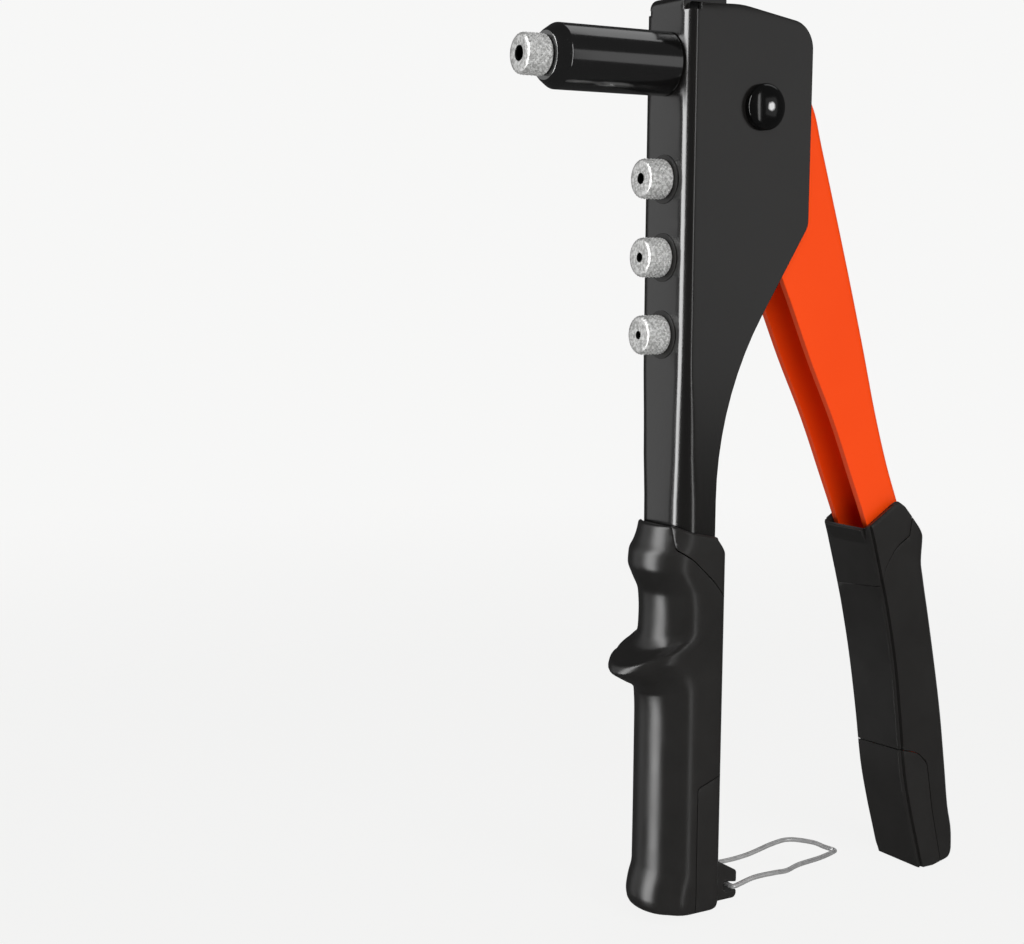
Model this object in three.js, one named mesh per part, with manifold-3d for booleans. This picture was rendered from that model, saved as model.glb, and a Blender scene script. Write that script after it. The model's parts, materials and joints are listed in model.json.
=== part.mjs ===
// Hand riveter: a pressed-steel body with a nose barrel, and a moving lever that draws a jaw case
// back along the nose axis. Millimetres, +Z up. X runs from the nose (-X) to the moving handle
// (+X), and Y runs across the tool. While it is being built, x = 0 is the front face of the body's
// web, y = 0 is the middle plane and z = 0 is a little above the ends of both handles.

import * as THREE from "three";
import { mergeVertices } from "three/addons/utils/BufferGeometryUtils.js";
import Module from "manifold-3d";

const wasm = await Module();
wasm.setup();

// ---------------------------------------------------------------- driving dimensions

const GAP = 0.3; // running gap between neighbouring pieces
const SHEET = 2; // thickness of both pressed channels
const MOVING_FOOT = -3.9; // the moving handle ends lower than the fixed one

const BODY_HALF = 11.2; // half the body's width
const BODY_DEPTH = 44.4; // web to the rear edge of the head's cheeks
const BODY_TOP = 263.4;
const BODY_BEND = 3; // outer bend radius of the head
const NECK_DEPTH = 12.5;
const NECK_BEND = 6.5; // outer bend radius of the neck
const NECK_FOOT = 4.3; // the neck ends above the fixed grip's closed bottom
const TAB_LENGTH = 15; // the web's top, folded back between the cheeks
const TAB_HALF = 8.6;

const NOSE_Z = 246.8; // height of the nose axis
const BARREL_RADIUS = 8.95;
const BARREL_FRONT = -40.5;
const BARREL_BORE = 6.65;
const SPIGOT_RADIUS = 7.8; // the barrel's rear spigot, through the web

const PIVOT_X = 26.4;
const PIVOT_Z = 235.4;
const SHAFT_RADIUS = 3;
const BUSH_RADIUS = 3.8;
const PIVOT_HALF = 15; // middle plane to the crown of the bolt's head

const LEVER_HALF = 7.75; // half the lever's width
const ARM_REAR = 16.6; // rear edge of the lever's arms, which pull the crosshead
const ARM_TOP = 249;

const TIP_RADIUS = 5.75; // nosepieces
const TIP_HEAD = 7.7;
const TIP_THREAD = 4;
const STORE_Z = [214.7, 192.6, 170.6]; // heights of the stored nosepieces

const CASE_RADIUS = 6.3;
const CASE_FRONT = -35.4;
const TAIL_RADIUS = 4.8;
const JAW_WIRE = 0.55; // radius of the jaw spring's wire
const JAW_SLOPE = Math.tan(THREE.MathUtils.degToRad(12)); // cone of the jaws and of their case

const BAIL_X = 22; // hinge of the wire bail
const BAIL_Z = 5;
const BAIL_WIRE = 0.75; // its wire's radius
const BAIL_HALF = 11.2;
const LUG_HALF = 9.8;

const GRIP_REAR = 16.4; // rear face of the fixed grip

// The fixed grip from the bottom up: height, front, rear, half width, length of its rounded nose,
// and how much higher its sides are than its middle.
const FIXED_GRIP = [
  [-0.9, -2.8, 14.8, 10.8, 9.8, 0],
  [-0.2, -4.7, 15.9, 12, 10.3, 0],
  [1.2, -5.6, 16.4, 12.6, 10.5, 0],
  [4, -6.1, 16.5, 12.8, 10.5, 0],
  [8, -5.5, 16.5, 12.8, 10.5, 0],
  [13, -4.2, 16.4, 12.7, 10.5, 0],
  [34, -4.1, 16.4, 12.7, 10.5, 0],
  [58, -4.1, 16.4, 12.7, 10.5, 0.2],
  [65, -4.7, 16.4, 12.7, 11.3, 2.8],
  [67.8, -6.9, 16.4, 12.7, 13, 4],
  [70.2, -11.3, 16.4, 12.7, 15.3, 4.5],
  [72.7, -14.7, 16.4, 12.7, 16.8, 4.5],
  [74.7, -13.9, 16.4, 12.7, 16.4, 4.5],
  [76.7, -9.6, 16.4, 12.7, 14.6, 4.5],
  [79.2, -5.3, 16.4, 12.7, 12.4, 4],
  [83, -3.4, 16.4, 12.7, 11, 3],
  [89, -3.1, 16.4, 12.7, 10.5, 1.6],
  [95, -3.5, 16.4, 12.7, 10.5, 0.5],
  [100, -5.7, 16.4, 12.7, 10.5, 0],
  [104, -7.2, 16.4, 12.7, 10.5, 0],
  [107.5, -6.9, 16.4, 12.7, 10.5, 0],
  [110.5, -5.2, 16.4, 12.6, 10.4, 0],
  [113.5, -4.1, 16.3, 12.4, 10.2, 0],
  [118, -3.4, 16.1, 12.2, 10, 0],
];
// The moving grip from the bottom up: height, front, rear, half width, front corner radius.
const MOVING_GRIP = [
  [-5, 100.2, 115, 9.9, 1.4],
  [0, 98.6, 116.5, 10.1, 1.4],
  [5, 97.1, 116.3, 10.1, 1.4],
  [15, 94.1, 114, 10.1, 1.4],
  [29, 90.6, 111.9, 10.1, 1.4],
  [46, 88, 109, 10.3, 1.4],
  [64, 84.9, 105.1, 10.6, 1.4],
  [82, 80.8, 101, 10.7, 1.4],
  [92, 78, 98.7, 10.7, 1.4],
  [98, 76.2, 97.6, 10.7, 1.4],
  [105, 74.1, 97.9, 10.7, 1.4],
  [118, 70.4, 97.4, 10.6, 1.4],
];

// ---------------------------------------------------------------- materials

const steelFinish = (color, roughness, metalness = 1) =>
  new THREE.MeshStandardMaterial({ color, roughness, metalness });

const BLACK_PAINT = steelFinish(0x2b2b29, 0.42, 0.2);
const ORANGE_PAINT = steelFinish(0xf74e13, 0.38, 0);
const BLACK_GLOSS = steelFinish(0x101010, 0.18, 0.4);
const RUBBER = steelFinish(0x2c2c2a, 0.68, 0);
const HARD_PLASTIC = steelFinish(0x2f2f2d, 0.5, 0);
const BRIGHT_STEEL = steelFinish(0xc9c9c6, 0.32);
const TOOL_STEEL = steelFinish(0x77787a, 0.4);
const SPRING_STEEL = steelFinish(0x8b8d90, 0.3);

// ---------------------------------------------------------------- solids

// A closed geometry as a solid: vertices merged, collapsed triangles dropped, faces turned out.
function solid(geometry) {
  const bare = geometry.clone();
  bare.deleteAttribute("normal");
  bare.deleteAttribute("uv");
  const merged = mergeVertices(bare, 1e-4);
  const corners = merged.index.array;
  const at = (i) => new THREE.Vector3().fromBufferAttribute(merged.attributes.position, i);
  const triangles = [];
  let volume = 0;
  for (let i = 0; i < corners.length; i += 3) {
    const [a, b, c] = [corners[i], corners[i + 1], corners[i + 2]];
    if (a === b || b === c || c === a) continue;
    triangles.push([a, b, c]);
    volume += at(a).dot(at(b).cross(at(c)));
  }
  if (volume < 0) triangles.forEach((triangle) => triangle.reverse());
  return new wasm.Manifold(
    new wasm.Mesh({
      numProp: 3,
      vertProperties: new Float32Array(merged.attributes.position.array),
      triVerts: new Uint32Array(triangles.flat()),
    }),
  );
}

// A polygon with rounded corners: each corner is [x, y] or [x, y, radius].
function rounded(corners, degreesPerStep = 15) {
  const points = [];
  corners.forEach(([x, y, radius = 0], i) => {
    const corner = new THREE.Vector2(x, y);
    if (radius === 0) {
      points.push(corner);
      return;
    }
    const toward = ([px, py]) => new THREE.Vector2(px, py).sub(corner).normalize();
    const before = toward(corners.at(i - 1));
    const after = toward(corners[(i + 1) % corners.length]);
    const half = Math.acos(before.dot(after)) / 2;
    const run = radius / Math.tan(half);
    const start = before.clone().multiplyScalar(run).add(corner);
    const end = after.clone().multiplyScalar(run).add(corner);
    const middle = before.clone().add(after).setLength(radius / Math.sin(half)).add(corner);
    const from = Math.atan2(start.y - middle.y, start.x - middle.x);
    let turn = Math.atan2(end.y - middle.y, end.x - middle.x) - from;
    turn = Math.atan2(Math.sin(turn), Math.cos(turn));
    const steps = Math.max(1, Math.ceil(Math.abs(THREE.MathUtils.radToDeg(turn)) / degreesPerStep));
    for (let step = 0; step <= steps; step++) {
      const angle = from + (turn * step) / steps;
      points.push(
        new THREE.Vector2(middle.x + radius * Math.cos(angle), middle.y + radius * Math.sin(angle)),
      );
    }
  });
  return points;
}

// A side outline in X and Z, made solid from y0 to y1.
function plate(corners, y0, y1) {
  const shape = new THREE.Shape(rounded(corners));
  const geometry = new THREE.ExtrudeGeometry(shape, { depth: y1 - y0, bevelEnabled: false });
  return solid(geometry.rotateX(Math.PI / 2).translate(0, y1, 0));
}

function block([x0, y0, z0], [x1, y1, z1]) {
  const geometry = new THREE.BoxGeometry(x1 - x0, y1 - y0, z1 - z0);
  return solid(geometry.translate((x0 + x1) / 2, (y0 + y1) / 2, (z0 + z1) / 2));
}

// A profile of [place on the axis, radius] points, turned about the Y axis or the X axis.
function turnedY(profile, segments = 32) {
  const points = [...profile, profile[0]].map(([y, radius]) => new THREE.Vector2(radius, y));
  return solid(new THREE.LatheGeometry(points, segments));
}

function turnedX(profile, segments = 32) {
  return turnedY(profile, segments).rotate([0, 0, -90]);
}

const rodX = (x0, x1, radius, segments = 32) =>
  turnedX([[x0, 0], [x0, radius], [x1, radius], [x1, 0]], segments);
const rodY = (y0, y1, radius, segments = 32) =>
  turnedY([[y0, 0], [y0, radius], [y1, radius], [y1, 0]], segments);

// A round wire along a curve.
function wire(curve, radius, steps, sides = 6) {
  const section = new THREE.Shape();
  for (let side = 0; side < sides; side++) {
    const angle = (2 * Math.PI * side) / sides;
    const [x, y] = [radius * Math.cos(angle), radius * Math.sin(angle)];
    if (side === 0) section.moveTo(x, y);
    else section.lineTo(x, y);
  }
  const options = { steps, extrudePath: curve, bevelEnabled: false };
  return solid(new THREE.ExtrudeGeometry(section, options));
}

// A quarter of a circle (or of an ellipse) of points, counted from +X towards +Y.
function quarter(number, [x, y], [reachX, reachY], steps = 4) {
  return Array.from({ length: steps + 1 }, (_, step) => {
    const angle = ((number + step / steps) * Math.PI) / 2;
    return [x + reachX * Math.cos(angle), y + reachY * Math.sin(angle)];
  });
}

// A level section [height, front, rear, half width, front corner radius] as a rounded rectangle.
const boxy = (rearRadius) => ([z, front, rear, half, radius]) =>
  [
    ...quarter(1, [front + radius, half - radius], [radius, radius]),
    ...quarter(2, [front + radius, radius - half], [radius, radius]),
    ...quarter(3, [rear - rearRadius, rearRadius - half], [rearRadius, rearRadius]),
    ...quarter(0, [rear - rearRadius, half - rearRadius], [rearRadius, rearRadius]),
  ].map(([x, y]) => [x, y, z]);

// A section [height, front, rear, half width, nose, lift] with half an ellipse as its front.
const nosed = (rearRadius) => ([z, front, rear, half, nose, lift]) =>
  [
    ...quarter(1, [front + nose, 0], [nose, half], 8),
    ...quarter(2, [front + nose, 0], [nose, half], 8),
    ...quarter(3, [rear - rearRadius, rearRadius - half], [rearRadius, rearRadius]),
    ...quarter(0, [rear - rearRadius, half - rearRadius], [rearRadius, rearRadius]),
  ].map(([x, y]) => [x, y, z + lift * (y / half) ** 2]);

// A solid skin over level sections, from the bottom up.
function skin(sections, outline) {
  const rings = sections.map(outline);
  const around = rings[0].length;
  const vertices = rings.flat();
  const triangles = [];
  for (let ring = 0; ring < rings.length - 1; ring++) {
    for (let i = 0; i < around; i++) {
      const [a, b] = [ring * around + i, ring * around + ((i + 1) % around)];
      triangles.push([a, b, b + around], [a, b + around, a + around]);
    }
  }
  const last = vertices.length - around;
  for (let i = 1; i < around - 1; i++) {
    triangles.push([0, i + 1, i], [last, last + i, last + i + 1]);
  }
  const geometry = new THREE.BufferGeometry();
  geometry.setAttribute("position", new THREE.Float32BufferAttribute(vertices.flat(), 3));
  geometry.setIndex(triangles.flat());
  return solid(geometry);
}

// ---------------------------------------------------------------- the model as a tree

const riveter = new THREE.Group();
const noseAxis = new THREE.Group();
noseAxis.position.set(0, 0, NOSE_Z);
const pivotAxis = new THREE.Group();
pivotAxis.position.set(PIVOT_X, 0, PIVOT_Z);
riveter.add(noseAxis, pivotAxis);

function add(group, name, body, material) {
  const { vertProperties, triVerts } = body.getMesh();
  const geometry = new THREE.BufferGeometry();
  geometry.setAttribute("position", new THREE.BufferAttribute(new Float32Array(vertProperties), 3));
  geometry.setIndex([...triVerts]);
  geometry.computeVertexNormals();
  const mesh = new THREE.Mesh(geometry, material);
  mesh.name = name;
  group.add(mesh);
  return mesh;
}

// ---------------------------------------------------------------- body

// A channel with its web in front: the head is deep, the neck is shallow, and both are open behind.
function bodyChannel() {
  const channel = (inset, foot, top) => {
    const bends = [
      [foot, NECK_BEND],
      [130, NECK_BEND],
      [206, BODY_BEND + 0.5],
      [232, BODY_BEND],
      [top, BODY_BEND],
    ];
    const sections = bends.map(([z, bend]) => {
      return [z, inset, BODY_DEPTH + inset, BODY_HALF - inset, bend - inset];
    });
    return skin(sections, boxy(0));
  };
  const outer = channel(0, NECK_FOOT, BODY_TOP);
  const hollow = channel(SHEET, NECK_FOOT - 1, BODY_TOP + 1);
  const side = plate(
    [
      [-1, NECK_FOOT],
      [NECK_DEPTH, NECK_FOOT],
      [NECK_DEPTH, 151.8, 99],
      [BODY_DEPTH, 202, 5],
      [BODY_DEPTH, 259.3, 8],
      [18, BODY_TOP, 30],
      [-1, BODY_TOP],
    ],
    -BODY_HALF - 1,
    BODY_HALF + 1,
  );
  const tabTop = BODY_TOP + SHEET;
  const tab = plate(
    [
      [0, 255],
      [SHEET, 255],
      [SHEET, BODY_TOP, 1],
      [TAB_LENGTH, BODY_TOP],
      [TAB_LENGTH, tabTop, 0.8],
      [0, tabTop, BODY_BEND],
    ],
    -TAB_HALF,
    TAB_HALF,
  );
  const farNotch = block([-1, TAB_HALF, 261], [3.4, BODY_HALF + 1, BODY_TOP + 1]);
  const nearNotch = farNotch.mirror([0, 1, 0]);
  let body = outer.subtract(hollow).intersect(side).subtract(farNotch).subtract(nearNotch).add(tab);
  body = body.subtract(rodX(-1, SHEET + 1, SPIGOT_RADIUS + GAP).translate([0, 0, NOSE_Z]));
  for (const z of STORE_Z) {
    body = body.subtract(rodX(-1, SHEET + 1, TIP_THREAD + GAP, 24).translate([0, 0, z]));
  }
  const pivotHole = rodY(-BODY_HALF - 1, BODY_HALF + 1, SHAFT_RADIUS + GAP, 24);
  return body.subtract(pivotHole.translate([PIVOT_X, 0, PIVOT_Z]));
}

add(riveter, "body_channel", bodyChannel(), BLACK_PAINT);

// ---------------------------------------------------------------- nose

const THROAT = TIP_THREAD + GAP; // the barrel's front wall, which takes the fitted nosepiece

add(
  noseAxis,
  "nose_barrel",
  turnedX([
    [BARREL_FRONT, THROAT],
    [BARREL_FRONT, 6.6],
    [BARREL_FRONT + 1.1, 7.5],
    [BARREL_FRONT + 3.4, BARREL_RADIUS],
    [-GAP, BARREL_RADIUS],
    [-GAP, SPIGOT_RADIUS],
    [5.8, SPIGOT_RADIUS],
    [5.8, BARREL_BORE],
    [BARREL_FRONT + 4.4, BARREL_BORE],
    [BARREL_FRONT + 4.4, THROAT],
  ]),
  BLACK_GLOSS,
);

function lockRing() {
  const [front, rear, inner, outer] = [SHEET + GAP, 5.4, SPIGOT_RADIUS + GAP, 8.9];
  let ring = turnedX([[front, inner], [front, outer], [rear, outer], [rear, inner]]);
  const notch = block([rear - 1.2, outer - 0.5, -1.2], [rear + 1, outer + 1, 1.2]);
  for (const angle of [45, 135, 225, 315]) {
    ring = ring.subtract(notch.rotate([angle, 0, 0]));
  }
  return ring;
}

add(noseAxis, "barrel_lock_ring", lockRing(), TOOL_STEEL);

// A nosepiece, front face at x = 0: a chamfered head and a threaded spigot that ends in a cone.
function nosepiece(hole) {
  const threadEnd = TIP_HEAD + GAP + 4.6;
  const end = threadEnd + 3.8;
  return turnedX(
    [
      [0, hole],
      [0, TIP_RADIUS - 0.9],
      [0.9, TIP_RADIUS],
      [TIP_HEAD - 0.5, TIP_RADIUS],
      [TIP_HEAD, TIP_RADIUS - 0.5],
      [TIP_HEAD, TIP_THREAD],
      [threadEnd, TIP_THREAD],
      [threadEnd + 0.4, 2.9],
      [end, 2.5],
      [end, hole],
    ],
    24,
  );
}

const FITTED_FRONT = BARREL_FRONT - GAP - TIP_HEAD;
const fitted = add(noseAxis, "nosepiece_4_8mm", nosepiece(1.8), BRIGHT_STEEL);
fitted.position.x = FITTED_FRONT;

["nosepiece_4_0mm", "nosepiece_3_2mm", "nosepiece_2_4mm"].forEach((name, i) => {
  const stored = add(riveter, name, nosepiece(1.25 - 0.2 * i), BRIGHT_STEEL);
  stored.position.set(-GAP - TIP_HEAD, 0, STORE_Z[i]);
});

// ---------------------------------------------------------------- jaw case and jaws

const CONE_START = -31.8; // front ends of the jaws
const JAW_LENGTH = 9;
const CONE_RADIUS = 3.6; // radius of the case's cone at the jaws' front ends
const CHAMBER_RADIUS = 5.3; // behind the jaws
const CHAMBER_END = -2;
const TAIL_START = 1;
const TAIL_STEP = ARM_REAR + 0.1; // where the tail steps down to its thread
const TAIL_END = 27;
const TAIL_THREAD = 3.4;
const EJECT_RADIUS = 2.2; // the way out for spent stems

const coneRadius = (x) => CONE_RADIUS + (x - CONE_START) * JAW_SLOPE;
const coneEnd = CONE_START + JAW_LENGTH + 1;

add(
  noseAxis,
  "jaw_case",
  turnedX([
    [CASE_FRONT, coneRadius(CASE_FRONT) + 0.6],
    [CASE_FRONT, CASE_RADIUS - 0.5],
    [CASE_FRONT + 0.5, CASE_RADIUS],
    [TAIL_START, CASE_RADIUS],
    [TAIL_START, TAIL_RADIUS],
    [TAIL_STEP, TAIL_RADIUS],
    [TAIL_STEP, TAIL_THREAD],
    [TAIL_END - 0.4, TAIL_THREAD],
    [TAIL_END, TAIL_THREAD - 0.4],
    [TAIL_END, EJECT_RADIUS],
    [CHAMBER_END, EJECT_RADIUS],
    [CHAMBER_END, CHAMBER_RADIUS],
    [coneEnd, CHAMBER_RADIUS],
    [coneEnd, coneRadius(coneEnd)],
    [CONE_START, CONE_RADIUS],
  ]),
  TOOL_STEEL,
);

// Half of a split cone, with a groove down its flat face for the rivet's stem.
const JAW_CLEARANCE = 0.35;
const SPLIT = 0.55; // half the gap between open jaws

function jaw() {
  const rear = CONE_START + JAW_LENGTH;
  const cone = turnedX(
    [
      [CONE_START, 0],
      [CONE_START, CONE_RADIUS - JAW_CLEARANCE],
      [rear, coneRadius(rear) - JAW_CLEARANCE],
      [rear, 0],
    ],
    24,
  );
  const upper = block([CONE_START - 1, -9, SPLIT], [rear + 1, 9, 9]);
  return cone.intersect(upper).subtract(rodX(CONE_START - 1, rear + 1, 1.1, 12));
}

add(noseAxis, "jaw_upper", jaw(), TOOL_STEEL);
add(noseAxis, "jaw_lower", jaw().mirror([0, 0, 1]), TOOL_STEEL);

// A sleeve with a flange that rests on the jaws, driven forward by the spring behind it.
const PUSHER_FRONT = CONE_START + JAW_LENGTH + GAP;
const PUSHER_REAR = PUSHER_FRONT + 8;
const PUSHER_BORE = 1.6;
const PUSHER_RADIUS = 2.7;
const FLANGE_RADIUS = 4.9;
const FLANGE_REAR = 3.2;

add(
  noseAxis,
  "jaw_pusher",
  turnedX(
    [
      [PUSHER_FRONT, PUSHER_BORE],
      [PUSHER_FRONT, 3.6],
      [PUSHER_FRONT + 1.6, FLANGE_RADIUS],
      [PUSHER_FRONT + FLANGE_REAR, FLANGE_RADIUS],
      [PUSHER_FRONT + FLANGE_REAR, PUSHER_RADIUS],
      [PUSHER_REAR, PUSHER_RADIUS],
      [PUSHER_REAR, PUSHER_BORE],
    ],
    24,
  ),
  TOOL_STEEL,
);

const JAW_SPRING_TURNS = 6;
const JAW_SPRING_RADIUS = 4;

class JawCoil extends THREE.Curve {
  getPoint(t) {
    const front = PUSHER_FRONT + FLANGE_REAR + GAP + JAW_WIRE;
    const rear = CHAMBER_END - GAP - JAW_WIRE;
    const angle = 2 * Math.PI * JAW_SPRING_TURNS * t;
    return new THREE.Vector3(
      THREE.MathUtils.lerp(front, rear, t),
      JAW_SPRING_RADIUS * Math.cos(angle),
      JAW_SPRING_RADIUS * Math.sin(angle),
    );
  }
}

add(noseAxis, "jaw_spring", wire(new JawCoil(), JAW_WIRE, JAW_SPRING_TURNS * 12), SPRING_STEEL);

// The crosshead is screwed on the case's tail; the lever's arms pull on its ears.
const CROSS_FRONT = ARM_REAR + 0.4;
const CROSS_REAR = CROSS_FRONT + 4;
const CROSS_HALF = 7.6;
const CROSS_BOTTOM = -4.8;
const CROSS_TOP = 5.6;

const LOCK_NUT_REAR = 25;
const LOCK_NUT_FLATS = 11;

const tailHole = (front, rear) => rodX(front - 1, rear + 1, TAIL_THREAD + GAP, 24);

function crosshead() {
  const corners = [
    [CROSS_FRONT, CROSS_BOTTOM],
    [CROSS_REAR, CROSS_BOTTOM, 0.6],
    [CROSS_REAR, CROSS_TOP, 0.6],
    [CROSS_FRONT, CROSS_TOP],
  ];
  return plate(corners, -CROSS_HALF, CROSS_HALF).subtract(tailHole(CROSS_FRONT, CROSS_REAR));
}

function hexNut(front, rear, acrossFlats) {
  const corner = acrossFlats / Math.sqrt(3);
  const hexagon = new THREE.CylinderGeometry(corner, corner, rear - front, 6);
  const nut = solid(hexagon.rotateY(Math.PI / 6).rotateZ(Math.PI / 2));
  return nut.translate([(front + rear) / 2, 0, 0]).subtract(tailHole(front, rear));
}

add(noseAxis, "pull_crosshead", crosshead(), TOOL_STEEL);
const lockNut = hexNut(CROSS_REAR + GAP, LOCK_NUT_REAR, LOCK_NUT_FLATS);
add(noseAxis, "crosshead_lock_nut", lockNut, TOOL_STEEL);

// ---------------------------------------------------------------- lever

const LEVER_BACK = [
  [110, 7],
  [104, 50, 120],
  [93.4, 99, 60],
  [79.9, 137, 40],
  [54.1, 223, 20],
  [47, 241.2, 8],
];
const LEVER_FRONT = [
  [26.4, 241.4],
  [ARM_REAR, 238.9, 2],
  [ARM_REAR, ARM_TOP, 2.5],
  [10.6, ARM_TOP, 2.5],
  [10.6, 236, 8],
  [20, 221, 20],
  [37.6, 187.5, 120],
  [54.4, 154.5, 120],
  [74.6, 110, 60],
  [83.8, 80, 100],
  [91.4, 45, 100],
  [98.6, 7],
];

// A channel that opens towards the body, with its web behind and two arms above the pivot.
function leverChannel() {
  const [shiftX, shiftZ] = [1.92, 0.57]; // one sheet's thickness, square to the web
  const cheeks = plate([...LEVER_BACK, ...LEVER_FRONT], -LEVER_HALF, LEVER_HALF);
  const inner = LEVER_BACK.slice(0, -1).map(([x, z, r]) => [x - shiftX, z - shiftZ, r]);
  inner[0][1] -= 5; // the hollow runs on below the foot
  const hollow = plate(
    [...inner, [46.7, 246], [0, 260], [0, 150], [60, 0]],
    SHEET - LEVER_HALF,
    LEVER_HALF - SHEET,
  );
  const bushHole = rodY(-LEVER_HALF - 1, LEVER_HALF + 1, BUSH_RADIUS + GAP, 24);
  return cheeks.subtract(hollow).subtract(bushHole.translate([PIVOT_X, 0, PIVOT_Z]));
}

add(riveter, "lever_channel", leverChannel(), ORANGE_PAINT);

// ---------------------------------------------------------------- pivot

const HEAD_SEAT = BODY_HALF + GAP;
const HEAD_RADIUS = 6.6;
const NUT_RADIUS = 6.2;

// Half a profile from the seat to the crown, as a dome over a short cylindrical rim.
function dome(seat, crown, radius, rim) {
  const points = [];
  for (let step = 0; step <= 6; step++) {
    const angle = (Math.PI / 2) * (step / 6);
    points.push([seat + rim + (crown - seat - rim) * Math.sin(angle), radius * Math.cos(angle)]);
  }
  points.at(-1)[1] = 0;
  return points;
}

add(
  pivotAxis,
  "pivot_bolt",
  turnedY([
    ...dome(HEAD_SEAT, PIVOT_HALF, HEAD_RADIUS, 1.1).reverse().map(([y, r]) => [-y, r]),
    [-HEAD_SEAT, HEAD_RADIUS],
    [-HEAD_SEAT, SHAFT_RADIUS],
    [PIVOT_HALF - 1.2, SHAFT_RADIUS],
    [PIVOT_HALF - 0.8, SHAFT_RADIUS - 0.4],
    [PIVOT_HALF - 0.8, 0],
  ]),
  BLACK_GLOSS,
);

// A flanged nut, open at its crown, where the bolt's end shows.
add(
  pivotAxis,
  "pivot_nut",
  turnedY([
    [HEAD_SEAT, SHAFT_RADIUS + GAP],
    [HEAD_SEAT, NUT_RADIUS],
    [HEAD_SEAT + 1.1, NUT_RADIUS],
    [HEAD_SEAT + 2.3, 5.2],
    [PIVOT_HALF, 4.4],
    [PIVOT_HALF, SHAFT_RADIUS + GAP],
  ]),
  BLACK_GLOSS,
);

add(
  pivotAxis,
  "pivot_bush",
  turnedY([
    [-LEVER_HALF, SHAFT_RADIUS + GAP],
    [-LEVER_HALF, BUSH_RADIUS],
    [LEVER_HALF, BUSH_RADIUS],
    [LEVER_HALF, SHAFT_RADIUS + GAP],
  ]),
  TOOL_STEEL,
);

const WASHER_RADIUS = 6.5;
const washer = (y0, y1) =>
  turnedY([
    [y0, SHAFT_RADIUS + GAP],
    [y0, WASHER_RADIUS],
    [y1, WASHER_RADIUS],
    [y1, SHAFT_RADIUS + GAP],
  ]);
const WASHER_INNER = LEVER_HALF + GAP;
const WASHER_OUTER = BODY_HALF - SHEET - GAP;
add(pivotAxis, "pivot_washer_near", washer(-WASHER_OUTER, -WASHER_INNER), TOOL_STEEL);
add(pivotAxis, "pivot_washer_far", washer(WASHER_INNER, WASHER_OUTER), TOOL_STEEL);

// The return spring: a coil round the bush, one leg on the body's web and one on the lever's.
const COIL_WIRE = 0.7;
const COIL_RADIUS = BUSH_RADIUS + GAP + COIL_WIRE;
const COIL_HALF = 2.6;
const COIL_TURNS = 3;
const COIL_STEPS = 84;

class ReturnSpring extends THREE.CurvePath {
  constructor() {
    super();
    const bodyLeg = new THREE.Vector2(SHEET + GAP + COIL_WIRE - PIVOT_X, -12.4);
    const leverLeg = new THREE.Vector2(23.2, -26);
    const legStart = Math.atan2(bodyLeg.y, bodyLeg.x) + Math.acos(COIL_RADIUS / bodyLeg.length());
    const legEnd = Math.atan2(leverLeg.y, leverLeg.x) - Math.acos(COIL_RADIUS / leverLeg.length());
    const turn = legStart - legEnd + 2 * Math.PI * COIL_TURNS;
    const onCoil = (t) => {
      const angle = legStart - turn * t;
      return new THREE.Vector3(
        COIL_RADIUS * Math.cos(angle),
        THREE.MathUtils.lerp(-COIL_HALF, COIL_HALF, t),
        COIL_RADIUS * Math.sin(angle),
      );
    };
    const coil = new THREE.Curve();
    coil.getPoint = onCoil;
    this.add(new THREE.LineCurve3(new THREE.Vector3(bodyLeg.x, -COIL_HALF, bodyLeg.y), onCoil(0)));
    this.add(coil);
    this.add(new THREE.LineCurve3(onCoil(1), new THREE.Vector3(leverLeg.x, COIL_HALF, leverLeg.y)));
  }
}

add(pivotAxis, "return_spring", wire(new ReturnSpring(), COIL_WIRE, COIL_STEPS), SPRING_STEEL);

// ---------------------------------------------------------------- fixed grip

// The grip is a closed-bottomed sleeve over the neck. A collar behind its top and a heel behind its
// foot are hard inserts; the cuts between them and the soft grip run right across.
const across = (corners) => plate(corners, -20, 20);
const fixedTop = across([
  [-20, -5],
  [-20, 115.9],
  [-0.6, 115.9, 4],
  [3, 114.3, 6],
  [12.6, 112.3, 3],
  [GRIP_REAR, 107.2, 1.5],
  [GRIP_REAR + 3, 95],
  [GRIP_REAR + 3, -5],
]);
const fixedSkin = skin(FIXED_GRIP, nosed(2.5)).intersect(fixedTop);
const neckRoom = skin(
  [NECK_FOOT - GAP, FIXED_GRIP.at(-1)[0]].map((z) => {
    return [z, -GAP, NECK_DEPTH + GAP, BODY_HALF + GAP, NECK_BEND + GAP];
  }),
  boxy(0),
);
const fixedSleeve = fixedSkin.subtract(neckRoom);

const fixedCollarRegion = (grow) =>
  across([
    [-0.8 - grow, 125],
    [-0.8 - grow, 109.5 - grow, 1.2],
    [4.2, 106.2 - 1.3 * grow, 10],
    [11.3, 99.7 - 1.4 * grow, 20],
    [GRIP_REAR + 3, 90 - 1.6 * grow],
    [GRIP_REAR + 3, 125],
  ]);
const fixedHeelRegion = (grow) =>
  across([
    [7.2 - grow, -5],
    [7.2 - grow, 37.9 + grow, 1.5],
    [GRIP_REAR + 3, 42.4 + grow],
    [GRIP_REAR + 3, -5],
  ]);

// The heel carries the bail's lug: a block with a sloping top, bored across for the wire's ends.
function bailLug() {
  const lug = plate(
    [
      [GRIP_REAR - 3.4, 0.8],
      [24.6, 0.8, 1.5],
      [24.6, 9.2, 1.2],
      [19, 12.4, 1],
      [GRIP_REAR - 3.4, 12.4],
    ],
    -LUG_HALF,
    LUG_HALF,
  );
  const slot = block([BAIL_X + 1.4, -LUG_HALF + 2.4, 3], [30, LUG_HALF - 2.4, 7]);
  return lug.subtract(slot);
}

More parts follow.
